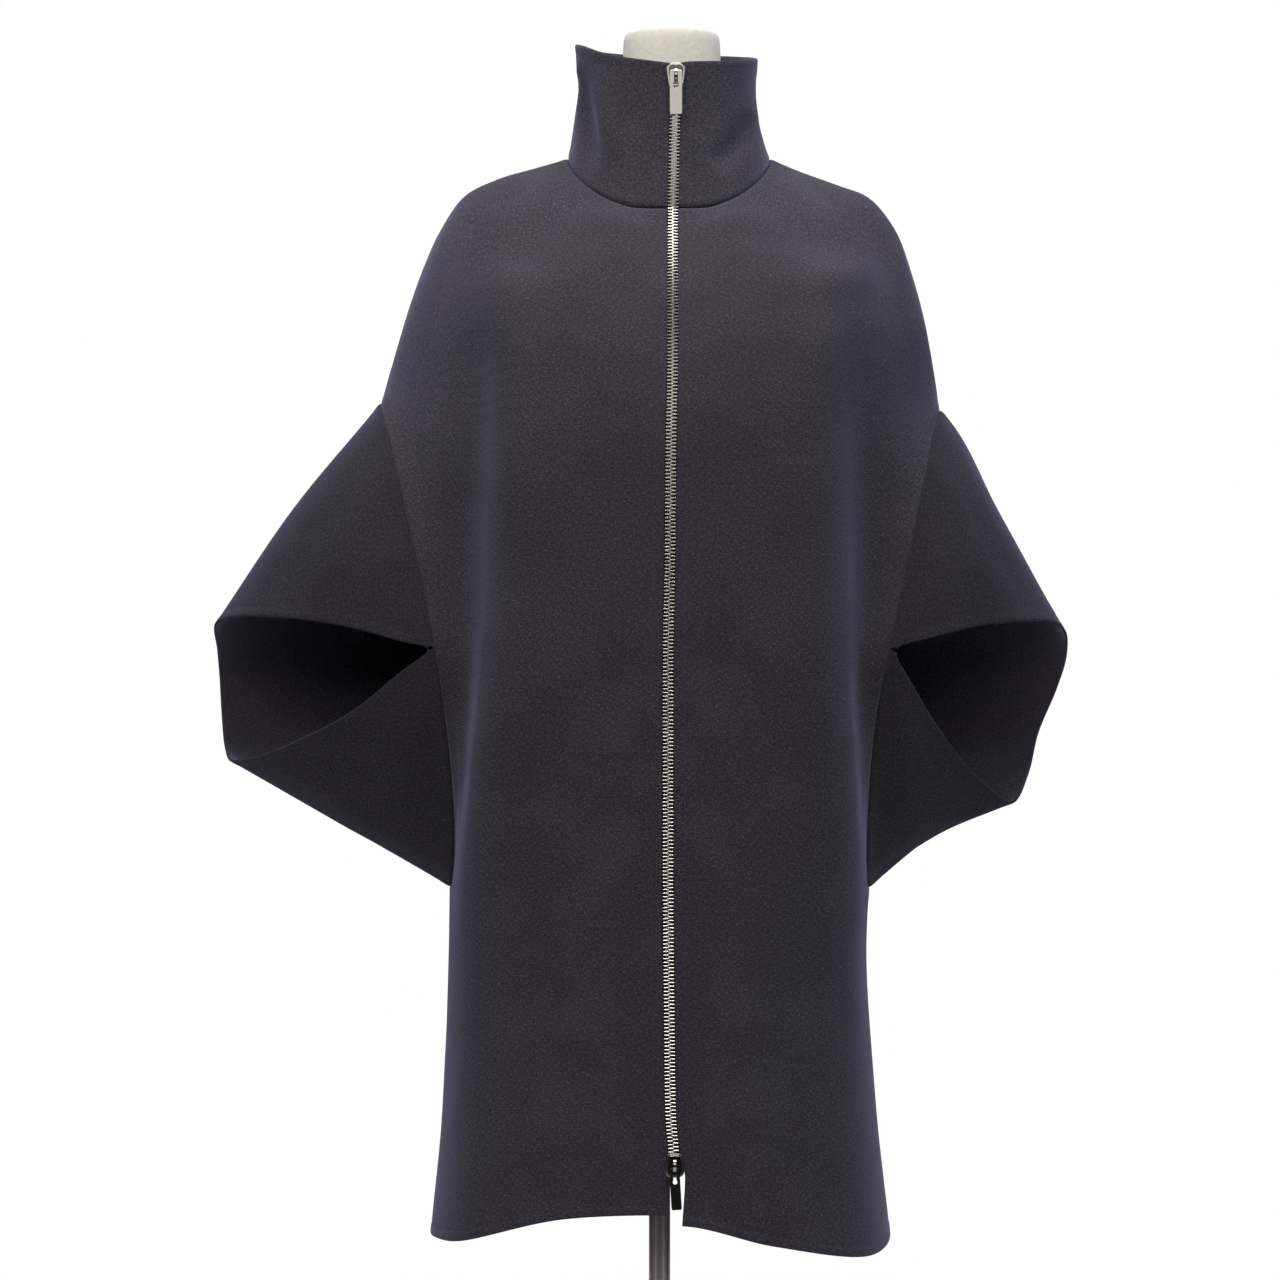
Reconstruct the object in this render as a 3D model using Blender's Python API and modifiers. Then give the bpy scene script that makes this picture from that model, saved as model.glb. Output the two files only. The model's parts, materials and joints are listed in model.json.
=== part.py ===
"""A wool cape coat with wing sleeves and a two-way metal zip, on a limbless dress form.

Units are metres. +X is the right of the front view, -Y is the front and +Z is up.
The origin is the middle of the stand's underside, on the axis of its pole.
The wearer's right side is -X. A distance called "out" runs from the pole's axis to that side.
"""
import math
from collections import namedtuple

import bmesh
import bpy
import numpy as np

COLLECTION = "cape_on_dress_form"
CUTTERS = "cutters"

# Cloth and seams
WALL = 0.0026
SEAM_GAP = 0.0003
HALF_GAP = SEAM_GAP / 2
SIGN = {"right": -1.0, "left": 1.0}

# Neckline seam: an oval round the neck, by the angle from its front middle
NECK_X = 0.0085
NECK_Y = -0.008
NECK_HALF_WIDTH = 0.0905
NECK_FRONT = 0.082
NECK_BACK = 0.083
NECK_ANGLES = (0, 19, 34, 53, 78, 92, 130, 180)
NECK_HEIGHTS = (1.340, 1.3417, 1.3490, 1.3640, 1.3860, 1.3960, 1.4040, 1.4060)
SHOULDER_POINT = 92.0
FRONT_NECK_STOPS = (0, 27, 52, 73, SHOULDER_POINT)
BACK_NECK_STOPS = (SHOULDER_POINT, 108, 128, 156, 180)

# Centre front: where the zip runs, and how far each front edge stands from it
CentreFront = namedtuple("CentreFront", "height zip_x y right_half left_half")
ZIP_HALF = 0.0048
CENTRE_FRONT = (
    CentreFront(1.340, 0.0110, -0.0900, ZIP_HALF, ZIP_HALF),
    CentreFront(1.322, 0.0108, -0.0985, ZIP_HALF, ZIP_HALF),
    CentreFront(1.300, 0.0107, -0.1090, ZIP_HALF, ZIP_HALF),
    CentreFront(1.270, 0.0106, -0.1220, ZIP_HALF, ZIP_HALF),
    CentreFront(1.235, 0.0104, -0.1340, ZIP_HALF, ZIP_HALF),
    CentreFront(1.190, 0.0100, -0.1440, ZIP_HALF, ZIP_HALF),
    CentreFront(1.140, 0.0089, -0.1495, ZIP_HALF, ZIP_HALF),
    CentreFront(1.030, 0.0078, -0.1510, ZIP_HALF, ZIP_HALF),
    CentreFront(0.940, 0.0062, -0.1510, ZIP_HALF, ZIP_HALF),
    CentreFront(0.780, 0.0062, -0.1500, ZIP_HALF, ZIP_HALF),
    CentreFront(0.650, 0.0072, -0.1490, ZIP_HALF, ZIP_HALF),
    CentreFront(0.560, 0.0085, -0.1490, ZIP_HALF, ZIP_HALF),
    CentreFront(0.528, 0.0112, -0.1500, ZIP_HALF, ZIP_HALF),
    CentreFront(0.510, 0.0122, -0.1505, 0.0050, 0.0085),
    CentreFront(0.466, 0.0122, -0.1510, 0.0046, 0.0060),
)
HEM_CENTRE = {"right": 0.4755, "left": 0.4665}
HEM_MIDDLE = {"right": 0.4700, "left": 0.4470}
HEM_RIDGE = {"right": 0.4430, "left": 0.4300}
HEM_VALLEY = {"right": 0.4380, "left": 0.4300}

# Shoulder rows: from the neckline to the top of the armhole, for each front
ShoulderRow = namedtuple(
    "ShoulderRow", "centre_z ridge_out ridge_y ridge_z valley_out valley_y valley_z seam_out seam_y seam_z")
SHOULDER = {
    "right": (
        ShoulderRow(1.322, 0.080, -0.070, 1.343, 0.101, -0.038, 1.370, 0.114, 0.000, 1.3880),
        ShoulderRow(1.303, 0.107, -0.075, 1.320, 0.134, -0.042, 1.351, 0.146, 0.001, 1.3790),
        ShoulderRow(1.283, 0.137, -0.073, 1.301, 0.162, -0.040, 1.334, 0.1745, 0.003, 1.3650),
        ShoulderRow(1.263, 0.143, -0.085, 1.281, 0.182, -0.043, 1.300, 0.1965, 0.005, 1.3350),
        ShoulderRow(1.235, 0.1255, -0.110, 1.2416, 0.192, -0.052, 1.250, 0.2165, 0.008, 1.2910),
        ShoulderRow(1.206, 0.1160, -0.123, 1.2085, 0.199, -0.057, 1.212, 0.2365, 0.010, 1.2295),
    ),
    "left": (
        ShoulderRow(1.322, 0.098, -0.070, 1.343, 0.119, -0.038, 1.368, 0.130, -0.004, 1.3835),
        ShoulderRow(1.303, 0.126, -0.074, 1.321, 0.150, -0.042, 1.349, 0.160, -0.006, 1.3725),
        ShoulderRow(1.285, 0.160, -0.066, 1.310, 0.176, -0.042, 1.334, 0.1865, -0.012, 1.3610),
        ShoulderRow(1.265, 0.176, -0.077, 1.289, 0.194, -0.052, 1.300, 0.2075, -0.020, 1.3350),
        ShoulderRow(1.237, 0.1554, -0.105, 1.2465, 0.203, -0.064, 1.255, 0.2260, -0.026, 1.2850),
        ShoulderRow(1.204, 0.1475, -0.121, 1.2096, 0.209, -0.067, 1.212, 0.2405, -0.020, 1.2300),
    ),
}

# Fronts below that: the fold where the front turns sideways, and the hollow behind it
FrontLevel = namedtuple("FrontLevel", "height ridge_out ridge_y valley_out valley_y")
FRONT_LEVELS = {
    "right": (
        FrontLevel(1.1787, 0.1215, -0.127, 0.203, -0.060),
        FrontLevel(1.148, 0.1320, -0.128, 0.202, -0.069),
        FrontLevel(1.085, 0.1378, -0.125, 0.193, -0.082),
        FrontLevel(1.033, 0.1405, -0.123, 0.184, -0.090),
        FrontLevel(0.965, 0.1510, -0.121, 0.174, -0.098),
        FrontLevel(0.913, 0.1574, -0.117, 0.1725, -0.094),
        FrontLevel(0.843, 0.1640, -0.107, 0.1735, -0.083),
        FrontLevel(0.799, 0.1680, -0.099, 0.1770, -0.072),
        FrontLevel(0.746, 0.1710, -0.092, 0.1835, -0.050),
        FrontLevel(0.690, 0.1700, -0.090, 0.186, -0.047),
        FrontLevel(0.600, 0.1710, -0.092, 0.188, -0.048),
        FrontLevel(0.500, 0.1750, -0.096, 0.194, -0.050),
        FrontLevel(0.434, 0.1790, -0.099, 0.200, -0.052),
    ),
    "left": (
        FrontLevel(1.1715, 0.1470, -0.125, 0.212, -0.064),
        FrontLevel(1.148, 0.1500, -0.125, 0.210, -0.070),
        FrontLevel(1.085, 0.1508, -0.122, 0.201, -0.082),
        FrontLevel(1.033, 0.1544, -0.120, 0.192, -0.089),
        FrontLevel(0.965, 0.1599, -0.118, 0.181, -0.098),
        FrontLevel(0.913, 0.1640, -0.112, 0.1775, -0.093),
        FrontLevel(0.863, 0.1680, -0.106, 0.1775, -0.085),
        FrontLevel(0.815, 0.1700, -0.100, 0.1785, -0.074),
        FrontLevel(0.746, 0.1700, -0.091, 0.1830, -0.050),
        FrontLevel(0.690, 0.1680, -0.090, 0.182, -0.047),
        FrontLevel(0.600, 0.1690, -0.092, 0.186, -0.048),
        FrontLevel(0.500, 0.1740, -0.096, 0.194, -0.050),
        FrontLevel(0.434, 0.1790, -0.099, 0.200, -0.052),
    ),
}
FLANK_SHARE = 0.5
FLANK_SLOPE = 0.20

# Armhole seams: down the front through the slit's point, and down the back
Seam = namedtuple("Seam", "out y height")
FRONT_ARMHOLE = {
    "right": (
        Seam(0.2516, 0.010, 1.1787), Seam(0.2480, -0.024, 1.1690), Seam(0.2375, -0.052, 1.1360),
        Seam(0.2219, -0.074, 1.0706), Seam(0.2054, -0.086, 1.0029), Seam(0.1968, -0.091, 0.9584),
        Seam(0.1890, -0.082, 0.9026), Seam(0.1825, -0.061, 0.8223), Seam(0.1825, -0.043, 0.7850),
        Seam(0.1850, -0.022, 0.7529), Seam(0.1886, 0.000, 0.7422),
    ),
    "left": (
        Seam(0.2524, 0.000, 1.1715), Seam(0.2480, -0.028, 1.1640), Seam(0.2395, -0.052, 1.1360),
        Seam(0.2270, -0.073, 1.0800), Seam(0.2120, -0.085, 1.0100), Seam(0.2001, -0.091, 0.9567),
        Seam(0.1900, -0.082, 0.9026), Seam(0.1840, -0.061, 0.8223), Seam(0.1840, -0.042, 0.7820),
        Seam(0.1855, -0.020, 0.7500), Seam(0.1885, 0.000, 0.7413),
    ),
}
SLIT_STATION = 5
BACK_ARMHOLE = (
    Seam(0.2485, 0.044, 1.1670), Seam(0.2400, 0.069, 1.1300), Seam(0.2260, 0.088, 1.0700),
    Seam(0.2120, 0.098, 1.0000), Seam(0.2000, 0.100, 0.9300), Seam(0.1900, 0.091, 0.8600),
    Seam(0.1840, 0.066, 0.8000), Seam(0.1845, 0.030, 0.7570),
)
SIDE_SEAM = {
    "right": (
        Seam(0.1886, 0.000, 0.7422), Seam(0.1882, 0.002, 0.7200), Seam(0.1872, 0.003, 0.6900),
        Seam(0.1890, 0.003, 0.6400), Seam(0.1922, 0.003, 0.5900), Seam(0.1958, 0.003, 0.5240),
        Seam(0.2003, 0.003, 0.4830), Seam(0.2055, 0.003, 0.4335),
    ),
    "left": (
        Seam(0.1885, 0.000, 0.7413), Seam(0.1860, 0.002, 0.7200), Seam(0.1845, 0.003, 0.6950),
        Seam(0.1862, 0.003, 0.6400), Seam(0.1903, 0.003, 0.5900), Seam(0.1950, 0.003, 0.5300),
        Seam(0.2005, 0.003, 0.4860), Seam(0.2065, 0.003, 0.4360),
    ),
}

# Back: the fold and hollow beside each armhole, and the middle, by height
BackRow = namedtuple("BackRow", "centre_z ridge_out ridge_y ridge_z valley_out valley_y valley_z")
BACK_SHOULDER = (
    BackRow(1.378, 0.082, 0.062, 1.383, 0.107, 0.036, 1.388),
    BackRow(1.350, 0.108, 0.076, 1.362, 0.139, 0.042, 1.371),
    BackRow(1.320, 0.132, 0.085, 1.338, 0.168, 0.045, 1.349),
    BackRow(1.285, 0.148, 0.093, 1.302, 0.193, 0.053, 1.308),
    BackRow(1.245, 0.154, 0.101, 1.252, 0.210, 0.060, 1.256),
    BackRow(1.208, 0.156, 0.105, 1.210, 0.214, 0.065, 1.212),
)
BackLevel = namedtuple("BackLevel", "height centre_y ridge_out ridge_y valley_out valley_y")
BACK_LEVELS = (
    BackLevel(1.405, 0.075, 0.060, 0.060, 0.090, 0.040),
    BackLevel(1.350, 0.096, 0.110, 0.075, 0.150, 0.045),
    BackLevel(1.285, 0.110, 0.148, 0.093, 0.187, 0.056),
    BackLevel(1.175, 0.119, 0.156, 0.107, 0.214, 0.074),
    BackLevel(1.085, 0.120, 0.150, 0.112, 0.196, 0.090),
    BackLevel(1.000, 0.119, 0.147, 0.114, 0.184, 0.101),
    BackLevel(0.900, 0.121, 0.150, 0.113, 0.175, 0.096),
    BackLevel(0.820, 0.125, 0.160, 0.102, 0.176, 0.074),
    BackLevel(0.746, 0.129, 0.170, 0.080, 0.186, 0.038),
    BackLevel(0.690, 0.131, 0.166, 0.090, 0.186, 0.046),
    BackLevel(0.600, 0.133, 0.167, 0.095, 0.187, 0.050),
    BackLevel(0.500, 0.135, 0.172, 0.099, 0.194, 0.053),
    BackLevel(0.434, 0.136, 0.177, 0.102, 0.200, 0.055),
)
HEM_BACK = 0.4700
HEM_BACK_RIDGE = 0.4480
HEM_BACK_VALLEY = 0.4390
BACK_MIDDLE_SHARE = 0.55

# Sleeve cuffs: the slit's upper edge, the back edge and the slit's lower edge.
# "share" runs from the slit's point to the top fold, to the bottom fold and back.
Cuff = namedtuple("Cuff", "share out y height belly")
CUFF_UPPER = {
    "right": (
        Cuff(0.00, 0.2020, -0.0925, 0.9588, 0.000), Cuff(0.13, 0.2240, -0.0900, 0.9630, 0.001),
        Cuff(0.30, 0.2530, -0.0830, 0.9710, 0.003), Cuff(0.46, 0.2819, -0.0740, 0.9776, 0.005),
        Cuff(0.62, 0.3126, -0.0620, 0.9823, 0.006), Cuff(0.78, 0.3440, -0.0460, 0.9850, 0.006),
        Cuff(0.92, 0.3800, -0.0170, 0.9858, 0.007), Cuff(1.00, 0.4030, 0.0180, 0.9785, 0.006),
    ),
    "left": (
        Cuff(0.00, 0.2052, -0.0925, 0.9585, 0.000), Cuff(0.15, 0.2256, -0.0890, 0.9640, 0.001),
        Cuff(0.32, 0.2519, -0.0810, 0.9706, 0.003), Cuff(0.48, 0.2785, -0.0680, 0.9768, 0.005),
        Cuff(0.64, 0.3070, -0.0520, 0.9800, 0.006), Cuff(0.80, 0.3350, -0.0300, 0.9818, 0.006),
        Cuff(0.92, 0.3560, -0.0060, 0.9800, 0.003), Cuff(1.00, 0.3690, 0.0180, 0.9700, 0.000),
    ),
}
CUFF_BACK = {
    "right": (
        Cuff(0.14, 0.4055, 0.0500, 0.9560, 0.006), Cuff(0.35, 0.4062, 0.0720, 0.9300, 0.008),
        Cuff(0.62, 0.4040, 0.0700, 0.8960, 0.008), Cuff(0.86, 0.3980, 0.0480, 0.8660, 0.004),
    ),
    "left": (
        Cuff(0.14, 0.3722, 0.0420, 0.9480, 0.004), Cuff(0.35, 0.3660, 0.0590, 0.9200, 0.008),
        Cuff(0.62, 0.3490, 0.0570, 0.8800, 0.008), Cuff(0.86, 0.3370, 0.0380, 0.8420, -0.006),
    ),
}
CUFF_LOWER = {
    "right": (
        Cuff(0.00, 0.3880, 0.0180, 0.8545, 0.000), Cuff(0.10, 0.3660, -0.0060, 0.8580, 0.000),
        Cuff(0.30, 0.3158, -0.0440, 0.8778, 0.002), Cuff(0.55, 0.2675, -0.0690, 0.9040, 0.003),
        Cuff(0.80, 0.2207, -0.0850, 0.9410, 0.001), Cuff(1.00, 0.2012, -0.0915, 0.9540, 0.000),
    ),
    "left": (
        Cuff(0.00, 0.3210, 0.0150, 0.8175, -0.011), Cuff(0.14, 0.2944, -0.0110, 0.8336, -0.006),
        Cuff(0.36, 0.2620, -0.0450, 0.8660, 0.000), Cuff(0.60, 0.2397, -0.0660, 0.8951, 0.003),
        Cuff(0.82, 0.2160, -0.0830, 0.9330, 0.001), Cuff(1.00, 0.2040, -0.0920, 0.9520, 0.000),
    ),
}
SLIT_PARTING = 0.0008
UNDERARM_EASE = {"right": 0.10, "left": 0.90}
UNDERARM_SHARP = (0.85, 0.45)

# Collar: the rim's oval and height by the angle from its front middle, for each side
RIM_X = 0.006
RIM_Y = -0.010
RIM_HALF_WIDTH = 0.0815
RIM_FRONT = 0.070
RIM_BACK = 0.072
RIM_ANGLES = (0, 10, 25, 45, 70, 90, 115, 150, 180)
RIM_HEIGHTS = {
    "right": (1.4680, 1.4705, 1.4745, 1.4820, 1.4930, 1.4980, 1.5000, 1.5015, 1.5020),
    "left": (1.4680, 1.4700, 1.4715, 1.4745, 1.4810, 1.4860, 1.4930, 1.5000, 1.5020),
}
COLLAR_RISES = (0.0, 0.05, 0.22, 0.42, 0.62, 0.82, 1.0)
Crease = namedtuple("Crease", "angle_low angle_high depth half_angle")
COLLAR_CREASES = {
    "right": Crease(52, 86, 0.0030, 15),
    "left": Crease(96, 84, 0.0055, 14),
}
RIM_FLARE = 0.0035
RIM_ZIP_X = 0.0140

# Zip
TAPE_WIDTH = 0.0150
TAPE_THICK = 0.0010
TAPE_CLEAR = 0.0006
CHAIN_WIDTH = 0.0090
CHAIN_PROUD = 0.0010
CHAIN_SUNK = 0.0013
TAPE_TOP_DROP = 0.0020
CHAIN_END = 0.5245
TAPE_END = 0.5120
SLIDER_TOP_Z = 1.4580
SLIDER_BOTTOM_Z = 0.5180
SLIDER_HEIGHT = 0.0205
SLIDER_WIDE = 0.0180
SLIDER_NARROW = 0.0135
SLIDER_PLATE = 0.0016
SLIDER_FLANGE = 0.0012
SLIDER_CLEAR = 0.0004
BRIDGE_WIDTH = 0.0028
BRIDGE_LENGTH = 0.0113
BRIDGE_HIGH = 0.0042
BRIDGE_BAR = 0.0016
PULL_LENGTH = 0.0388
LOWER_PULL_WIDTH = 0.0088
LOWER_PULL_LENGTH = 0.0355
PULL_WIDTH = 0.0109
PULL_THICK = 0.0016
PULL_SLOT_LENGTH = 0.0130
PULL_BAR = 0.0018
PULL_SLOT_WIDTH = 0.0048
PULL_SLOT_ROUND = 0.0007
PULL_CORNER = 0.0012

# Dress form and stand
FORM_CLEAR = 0.0006
FormRing = namedtuple("FormRing", "height lean half_width front back square")
FORM_LOWER = (
    FormRing(0.690, 0.001, 0.1300, 0.080, 0.085, 2.2),
    FormRing(0.694, 0.001, 0.1480, 0.094, 0.099, 2.2),
    FormRing(0.712, 0.001, 0.1570, 0.101, 0.106, 2.2),
    FormRing(0.780, 0.002, 0.1600, 0.104, 0.110, 2.2),
    FormRing(0.860, 0.003, 0.1480, 0.100, 0.105, 2.1),
    FormRing(0.930, 0.004, 0.1280, 0.091, 0.090, 2.1),
    FormRing(0.990, 0.005, 0.1200, 0.088, 0.082, 2.1),
    FormRing(1.060, 0.006, 0.1270, 0.100, 0.084, 2.2),
    FormRing(1.130, 0.007, 0.1380, 0.120, 0.090, 2.3),
    FormRing(1.190, 0.008, 0.1460, 0.120, 0.095, 2.3),
    FormRing(1.250, 0.008, 0.1530, 0.104, 0.097, 2.2),
    FormRing(1.300, 0.009, 0.1610, 0.084, 0.094, 2.0),
)
FORM_SHOULDER_ROWS = (3.0, 2.5, 2.0, 1.0)
FORM_SHOULDER_FRONT = (0.068, 0.062, 0.059, 0.056)
FORM_SHOULDER_BACK = (0.084, 0.078, 0.070, 0.062)
FORM_SHOULDER_SQUARE = 1.35
FORM_SHOULDER_DROOP = 0.45
FORM_NECK = (
    FormRing(1.3890, 0.009, 0.0680, 0.0500, 0.0560, 1.8),
    FormRing(1.3980, 0.010, 0.0540, 0.0480, 0.0520, 2.0),
    FormRing(1.4120, 0.010, 0.0470, 0.0470, 0.0490, 2.0),
    FormRing(1.4500, 0.011, 0.0445, 0.0460, 0.0470, 2.0),
    FormRing(1.5000, 0.011, 0.0445, 0.0460, 0.0460, 2.0),
    FormRing(1.5090, 0.011, 0.0430, 0.0445, 0.0445, 2.0),
    FormRing(1.5120, 0.011, 0.0385, 0.0400, 0.0400, 2.0),
)
FORM_SIDES = 28
FORM_Y = 0.004
POLE_RADIUS = 0.0095
BASE_RADIUS = 0.165
BASE_THICK = 0.010
HUB_RADIUS = 0.024
HUB_HEIGHT = 0.018
ROUND_SIDES = 40
POLE_SIDES = 20

# How finely the cloth is drawn: shares along each stretch of the panels
SHOULDER_STEPS = (0.0, 1.0, 2.0, 2.5, 3.0, 3.5, 4.0, 5.0, 6.0)
ARM_UPPER_STEPS = (0.0, 0.08, 0.19, 0.34, 0.50, 0.67, 0.84, 1.0)
ARM_LOWER_STEPS = (0.17, 0.35, 0.53, 0.71, 0.87, 1.0)
ARM_BACK_STEPS = (0.0, 0.06, 0.13, 0.21, 0.30, 0.39, 0.48, 0.57, 0.66, 0.75, 0.83, 0.90, 0.95, 1.0)
SKIRT_STEPS = (0.07, 0.18, 0.32, 0.48, 0.64, 0.80, 0.92, 1.0)
SPAN_STEPS = {"front": (3, 3, 3, 3), "back": (3, 3, 2, 2)}
SLEEVE_STEPS = (0.0, 0.14, 0.30, 0.48, 0.66, 0.83, 1.0)


def unit(vector):
    return vector / np.linalg.norm(vector)


def mix(start, end, share):
    return start + (end - start) * share


def pchip(keys, values, at):
    """Monotone cubic through a short table, flat at its turning points, held at its ends."""
    at = min(max(at, keys[0]), keys[-1])
    gaps = [b - a for a, b in zip(keys, keys[1:])]
    slopes = [(b - a) / gap for a, b, gap in zip(values, values[1:], gaps)]

    def tangent(index):
        if index in (0, len(slopes)):
            return slopes[min(index, len(slopes) - 1)]
        before, after = slopes[index - 1], slopes[index]
        return 0.0 if before * after <= 0 else 2 * before * after / (before + after)

    index = max(i for i in range(len(gaps)) if keys[i] <= at)
    gap = gaps[index]
    t = (at - keys[index]) / gap
    return hermite(values[index], values[index + 1], tangent(index) * gap, tangent(index + 1) * gap, t)


def hermite(start, end, start_slope, end_slope, t):
    return (start * (2 * t**3 - 3 * t**2 + 1) + end * (3 * t**2 - 2 * t**3)
            + start_slope * (t**3 - 2 * t**2 + t) + end_slope * (t**3 - t**2))


def read_table(table, height, *names):
    """Values of the named columns of a table at a height."""
    rows = sorted(table, key=lambda row: row.height)
    keys = [row.height for row in rows]
    return [pchip(keys, [getattr(row, name) for row in rows], height) for name in names]


class Path:
    """Smooth curve through points, walked by the distance along their chords."""

    def __init__(self, points, first=None, last=None):
        self.points = np.array(points, float)
        steps = np.diff(self.points, axis=0)
        self.gaps = np.linalg.norm(steps, axis=1)
        self.knots = np.concatenate([[0.0], np.cumsum(self.gaps)])
        slopes = steps / self.gaps[:, None]
        self.tangents = np.empty_like(self.points)
        before, after = self.gaps[:-1, None], self.gaps[1:, None]
        self.tangents[1:-1] = (slopes[:-1] * after + slopes[1:] * before) / (before + after)
        self.tangents[0] = slopes[0] if first is None else first
        self.tangents[-1] = slopes[-1] if last is None else last

    def span(self, index, t):
        gap = self.gaps[index]
        return hermite(self.points[index], self.points[index + 1],
                       self.tangents[index] * gap, self.tangents[index + 1] * gap, t)

    def at(self, distance):
        index = min(max(int(np.searchsorted(self.knots, distance)) - 1, 0), len(self.gaps) - 1)
        return self.span(index, (distance - self.knots[index]) / self.gaps[index])

    def row(self, number):
        """Point at a fractional row number, 0 for the first point."""
        index = min(int(number), len(self.gaps) - 1)
        return self.span(index, number - index)


def world(side, out, y, height):
    return np.array([SIGN[side] * out, y, height])


def neck_point(angle, side):
    """Point of the neckline seam at an angle from its front middle."""
    turn = math.radians(angle)
    depth = NECK_FRONT if angle < 90 else NECK_BACK
    return np.array([NECK_X + SIGN[side] * NECK_HALF_WIDTH * math.sin(turn),
                     NECK_Y - depth * math.cos(turn),
                     pchip(NECK_ANGLES, NECK_HEIGHTS, angle)])


def zip_point(height):
    """Point on the line of the zip, on the cloth's outer face."""
    zip_x, y = read_table(CENTRE_FRONT, height, "zip_x", "y")
    return np.array([zip_x, y, height])


def front_controls_at(side, outer, centre_z, ridge_z, valley_z):
    """Control points of a row of a front: zip line, flank, ridge, hollow and outer seam."""
    centre = zip_point(centre_z)
    ridge_out, ridge_y = read_table(FRONT_LEVELS[side], ridge_z, "ridge_out", "ridge_y")
    valley_out, valley_y = read_table(FRONT_LEVELS[side], valley_z, "valley_out", "valley_y")
    ridge = world(side, ridge_out, ridge_y, ridge_z)
    valley = world(side, valley_out, valley_y, valley_z)
    return [centre, flank_point(centre, ridge), ridge, valley, outer]


def flank_point(centre, ridge):
    flank = mix(centre, ridge, FLANK_SHARE)
    flank[1] = mix(centre[1], ridge[1], FLANK_SLOPE)
    return flank


def armhole_paths(side):
    """The armhole seam: front from its top to the slit, on to the underarm, and the back."""
    front = [world(side, *row) for row in FRONT_ARMHOLE[side]]
    top, underarm = front[0], front[-1]
    back = [top] + [world(side, *row) for row in BACK_ARMHOLE] + [underarm]
    forward = np.array([0.0, -1.0, 0.0])
    whole_front = Path(front, first=forward, last=-forward)
    return whole_front, Path(back, first=-forward, last=forward)


def armhole_samples(side):
    """Points of the armhole on the front rows and on the back rows, from top to underarm."""
    front, back = armhole_paths(side)
    slit = front.knots[SLIT_STATION]
    upper = [front.at(share * slit) for share in ARM_UPPER_STEPS]
    lower = [front.at(mix(slit, front.knots[-1], share)) for share in ARM_LOWER_STEPS]
    behind = [back.at(share * back.knots[-1]) for share in ARM_BACK_STEPS]
    return upper + lower, behind


def overarm_samples(side):
    """Points of the seam over the shoulder, from the neckline to just above the armhole."""
    rows = [neck_point(SHOULDER_POINT, side)]
    rows += [world(side, row.seam_out, row.seam_y, row.seam_z) for row in SHOULDER[side]]
    rows.append(world(side, *FRONT_ARMHOLE[side][0]))
    path = Path(rows)
    return [path.row(step) for step in SHOULDER_STEPS], path


def side_samples(side):
    path = Path([world(side, *row) for row in SIDE_SEAM[side]])
    return [path.at(share * path.knots[-1]) for share in SKIRT_STEPS]


def shoulder_columns(columns, last_row):
    """Each control column over the shoulder, as a path by row number."""
    return [Path(list(column) + [last]) for column, last in zip(columns, last_row)]


def front_rows(side):
    """Control points of every row of one front, from neckline to hem."""
    overarm, seam = overarm_samples(side)
    armhole, _ = armhole_samples(side)
    side_seam = side_samples(side)
    columns = [[neck_point(angle, side)] for angle in FRONT_NECK_STOPS[:4]]
    for row in SHOULDER[side]:
        centre = zip_point(row.centre_z)
        ridge = world(side, row.ridge_out, row.ridge_y, row.ridge_z)
        valley = world(side, row.valley_out, row.valley_y, row.valley_z)
        for column, point in zip(columns, (centre, flank_point(centre, ridge), ridge, valley)):
            column.append(point)
    top = armhole[0]
    first_arm_row = front_controls_at(side, top, top[2], top[2], top[2])
    paths = shoulder_columns(columns, first_arm_row[:4])
    rows = [[path.row(step) for path in paths] + [outer] for step, outer in zip(SHOULDER_STEPS, overarm)]
    rows += [front_controls_at(side, point, point[2], point[2], point[2]) for point in armhole]
    underarm = armhole[-1][2]
    for share, outer in zip(SKIRT_STEPS, side_seam):
        heights = [mix(underarm, hem, share) for hem in (HEM_CENTRE[side], HEM_RIDGE[side], HEM_VALLEY[side])]
        controls = front_controls_at(side, outer, *heights)
        controls[1][2] = mix(underarm, HEM_MIDDLE[side], share)
        rows.append(controls)
    return rows


def back_half(side):
    """Control points of every row of one half of the back, from the seam to the middle."""
    overarm, _ = overarm_samples(side)
    _, armhole = armhole_samples(side)
    side_seam = side_samples(side)
    columns = [[neck_point(angle, side)] for angle in BACK_NECK_STOPS[1:]]
    for row in BACK_SHOULDER:
        ridge = world(side, row.ridge_out, row.ridge_y, row.ridge_z)
        valley = world(side, row.valley_out, row.valley_y, row.valley_z)
        centre = np.array([NECK_X, read_table(BACK_LEVELS, row.centre_z, "centre_y")[0], row.centre_z])
        for column, point in zip(columns, (valley, ridge, back_middle(centre, ridge), centre)):
            column.append(point)
    heights = [point[2] for point in armhole]
    levels = [back_controls_at(side, z, z, z) for z in heights]
    paths = shoulder_columns(columns, levels[0])
    rows = [[outer] + [path.row(step) for path in paths] for step, outer in zip(SHOULDER_STEPS, overarm)]
    rows += [[point] + level for point, level in zip(armhole, levels)]
    for share, outer in zip(SKIRT_STEPS, side_seam):
        drops = [mix(heights[-1], hem, share) for hem in (HEM_BACK, HEM_BACK_RIDGE, HEM_BACK_VALLEY)]
        rows.append([outer] + back_controls_at(side, *drops))
    return rows


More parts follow.
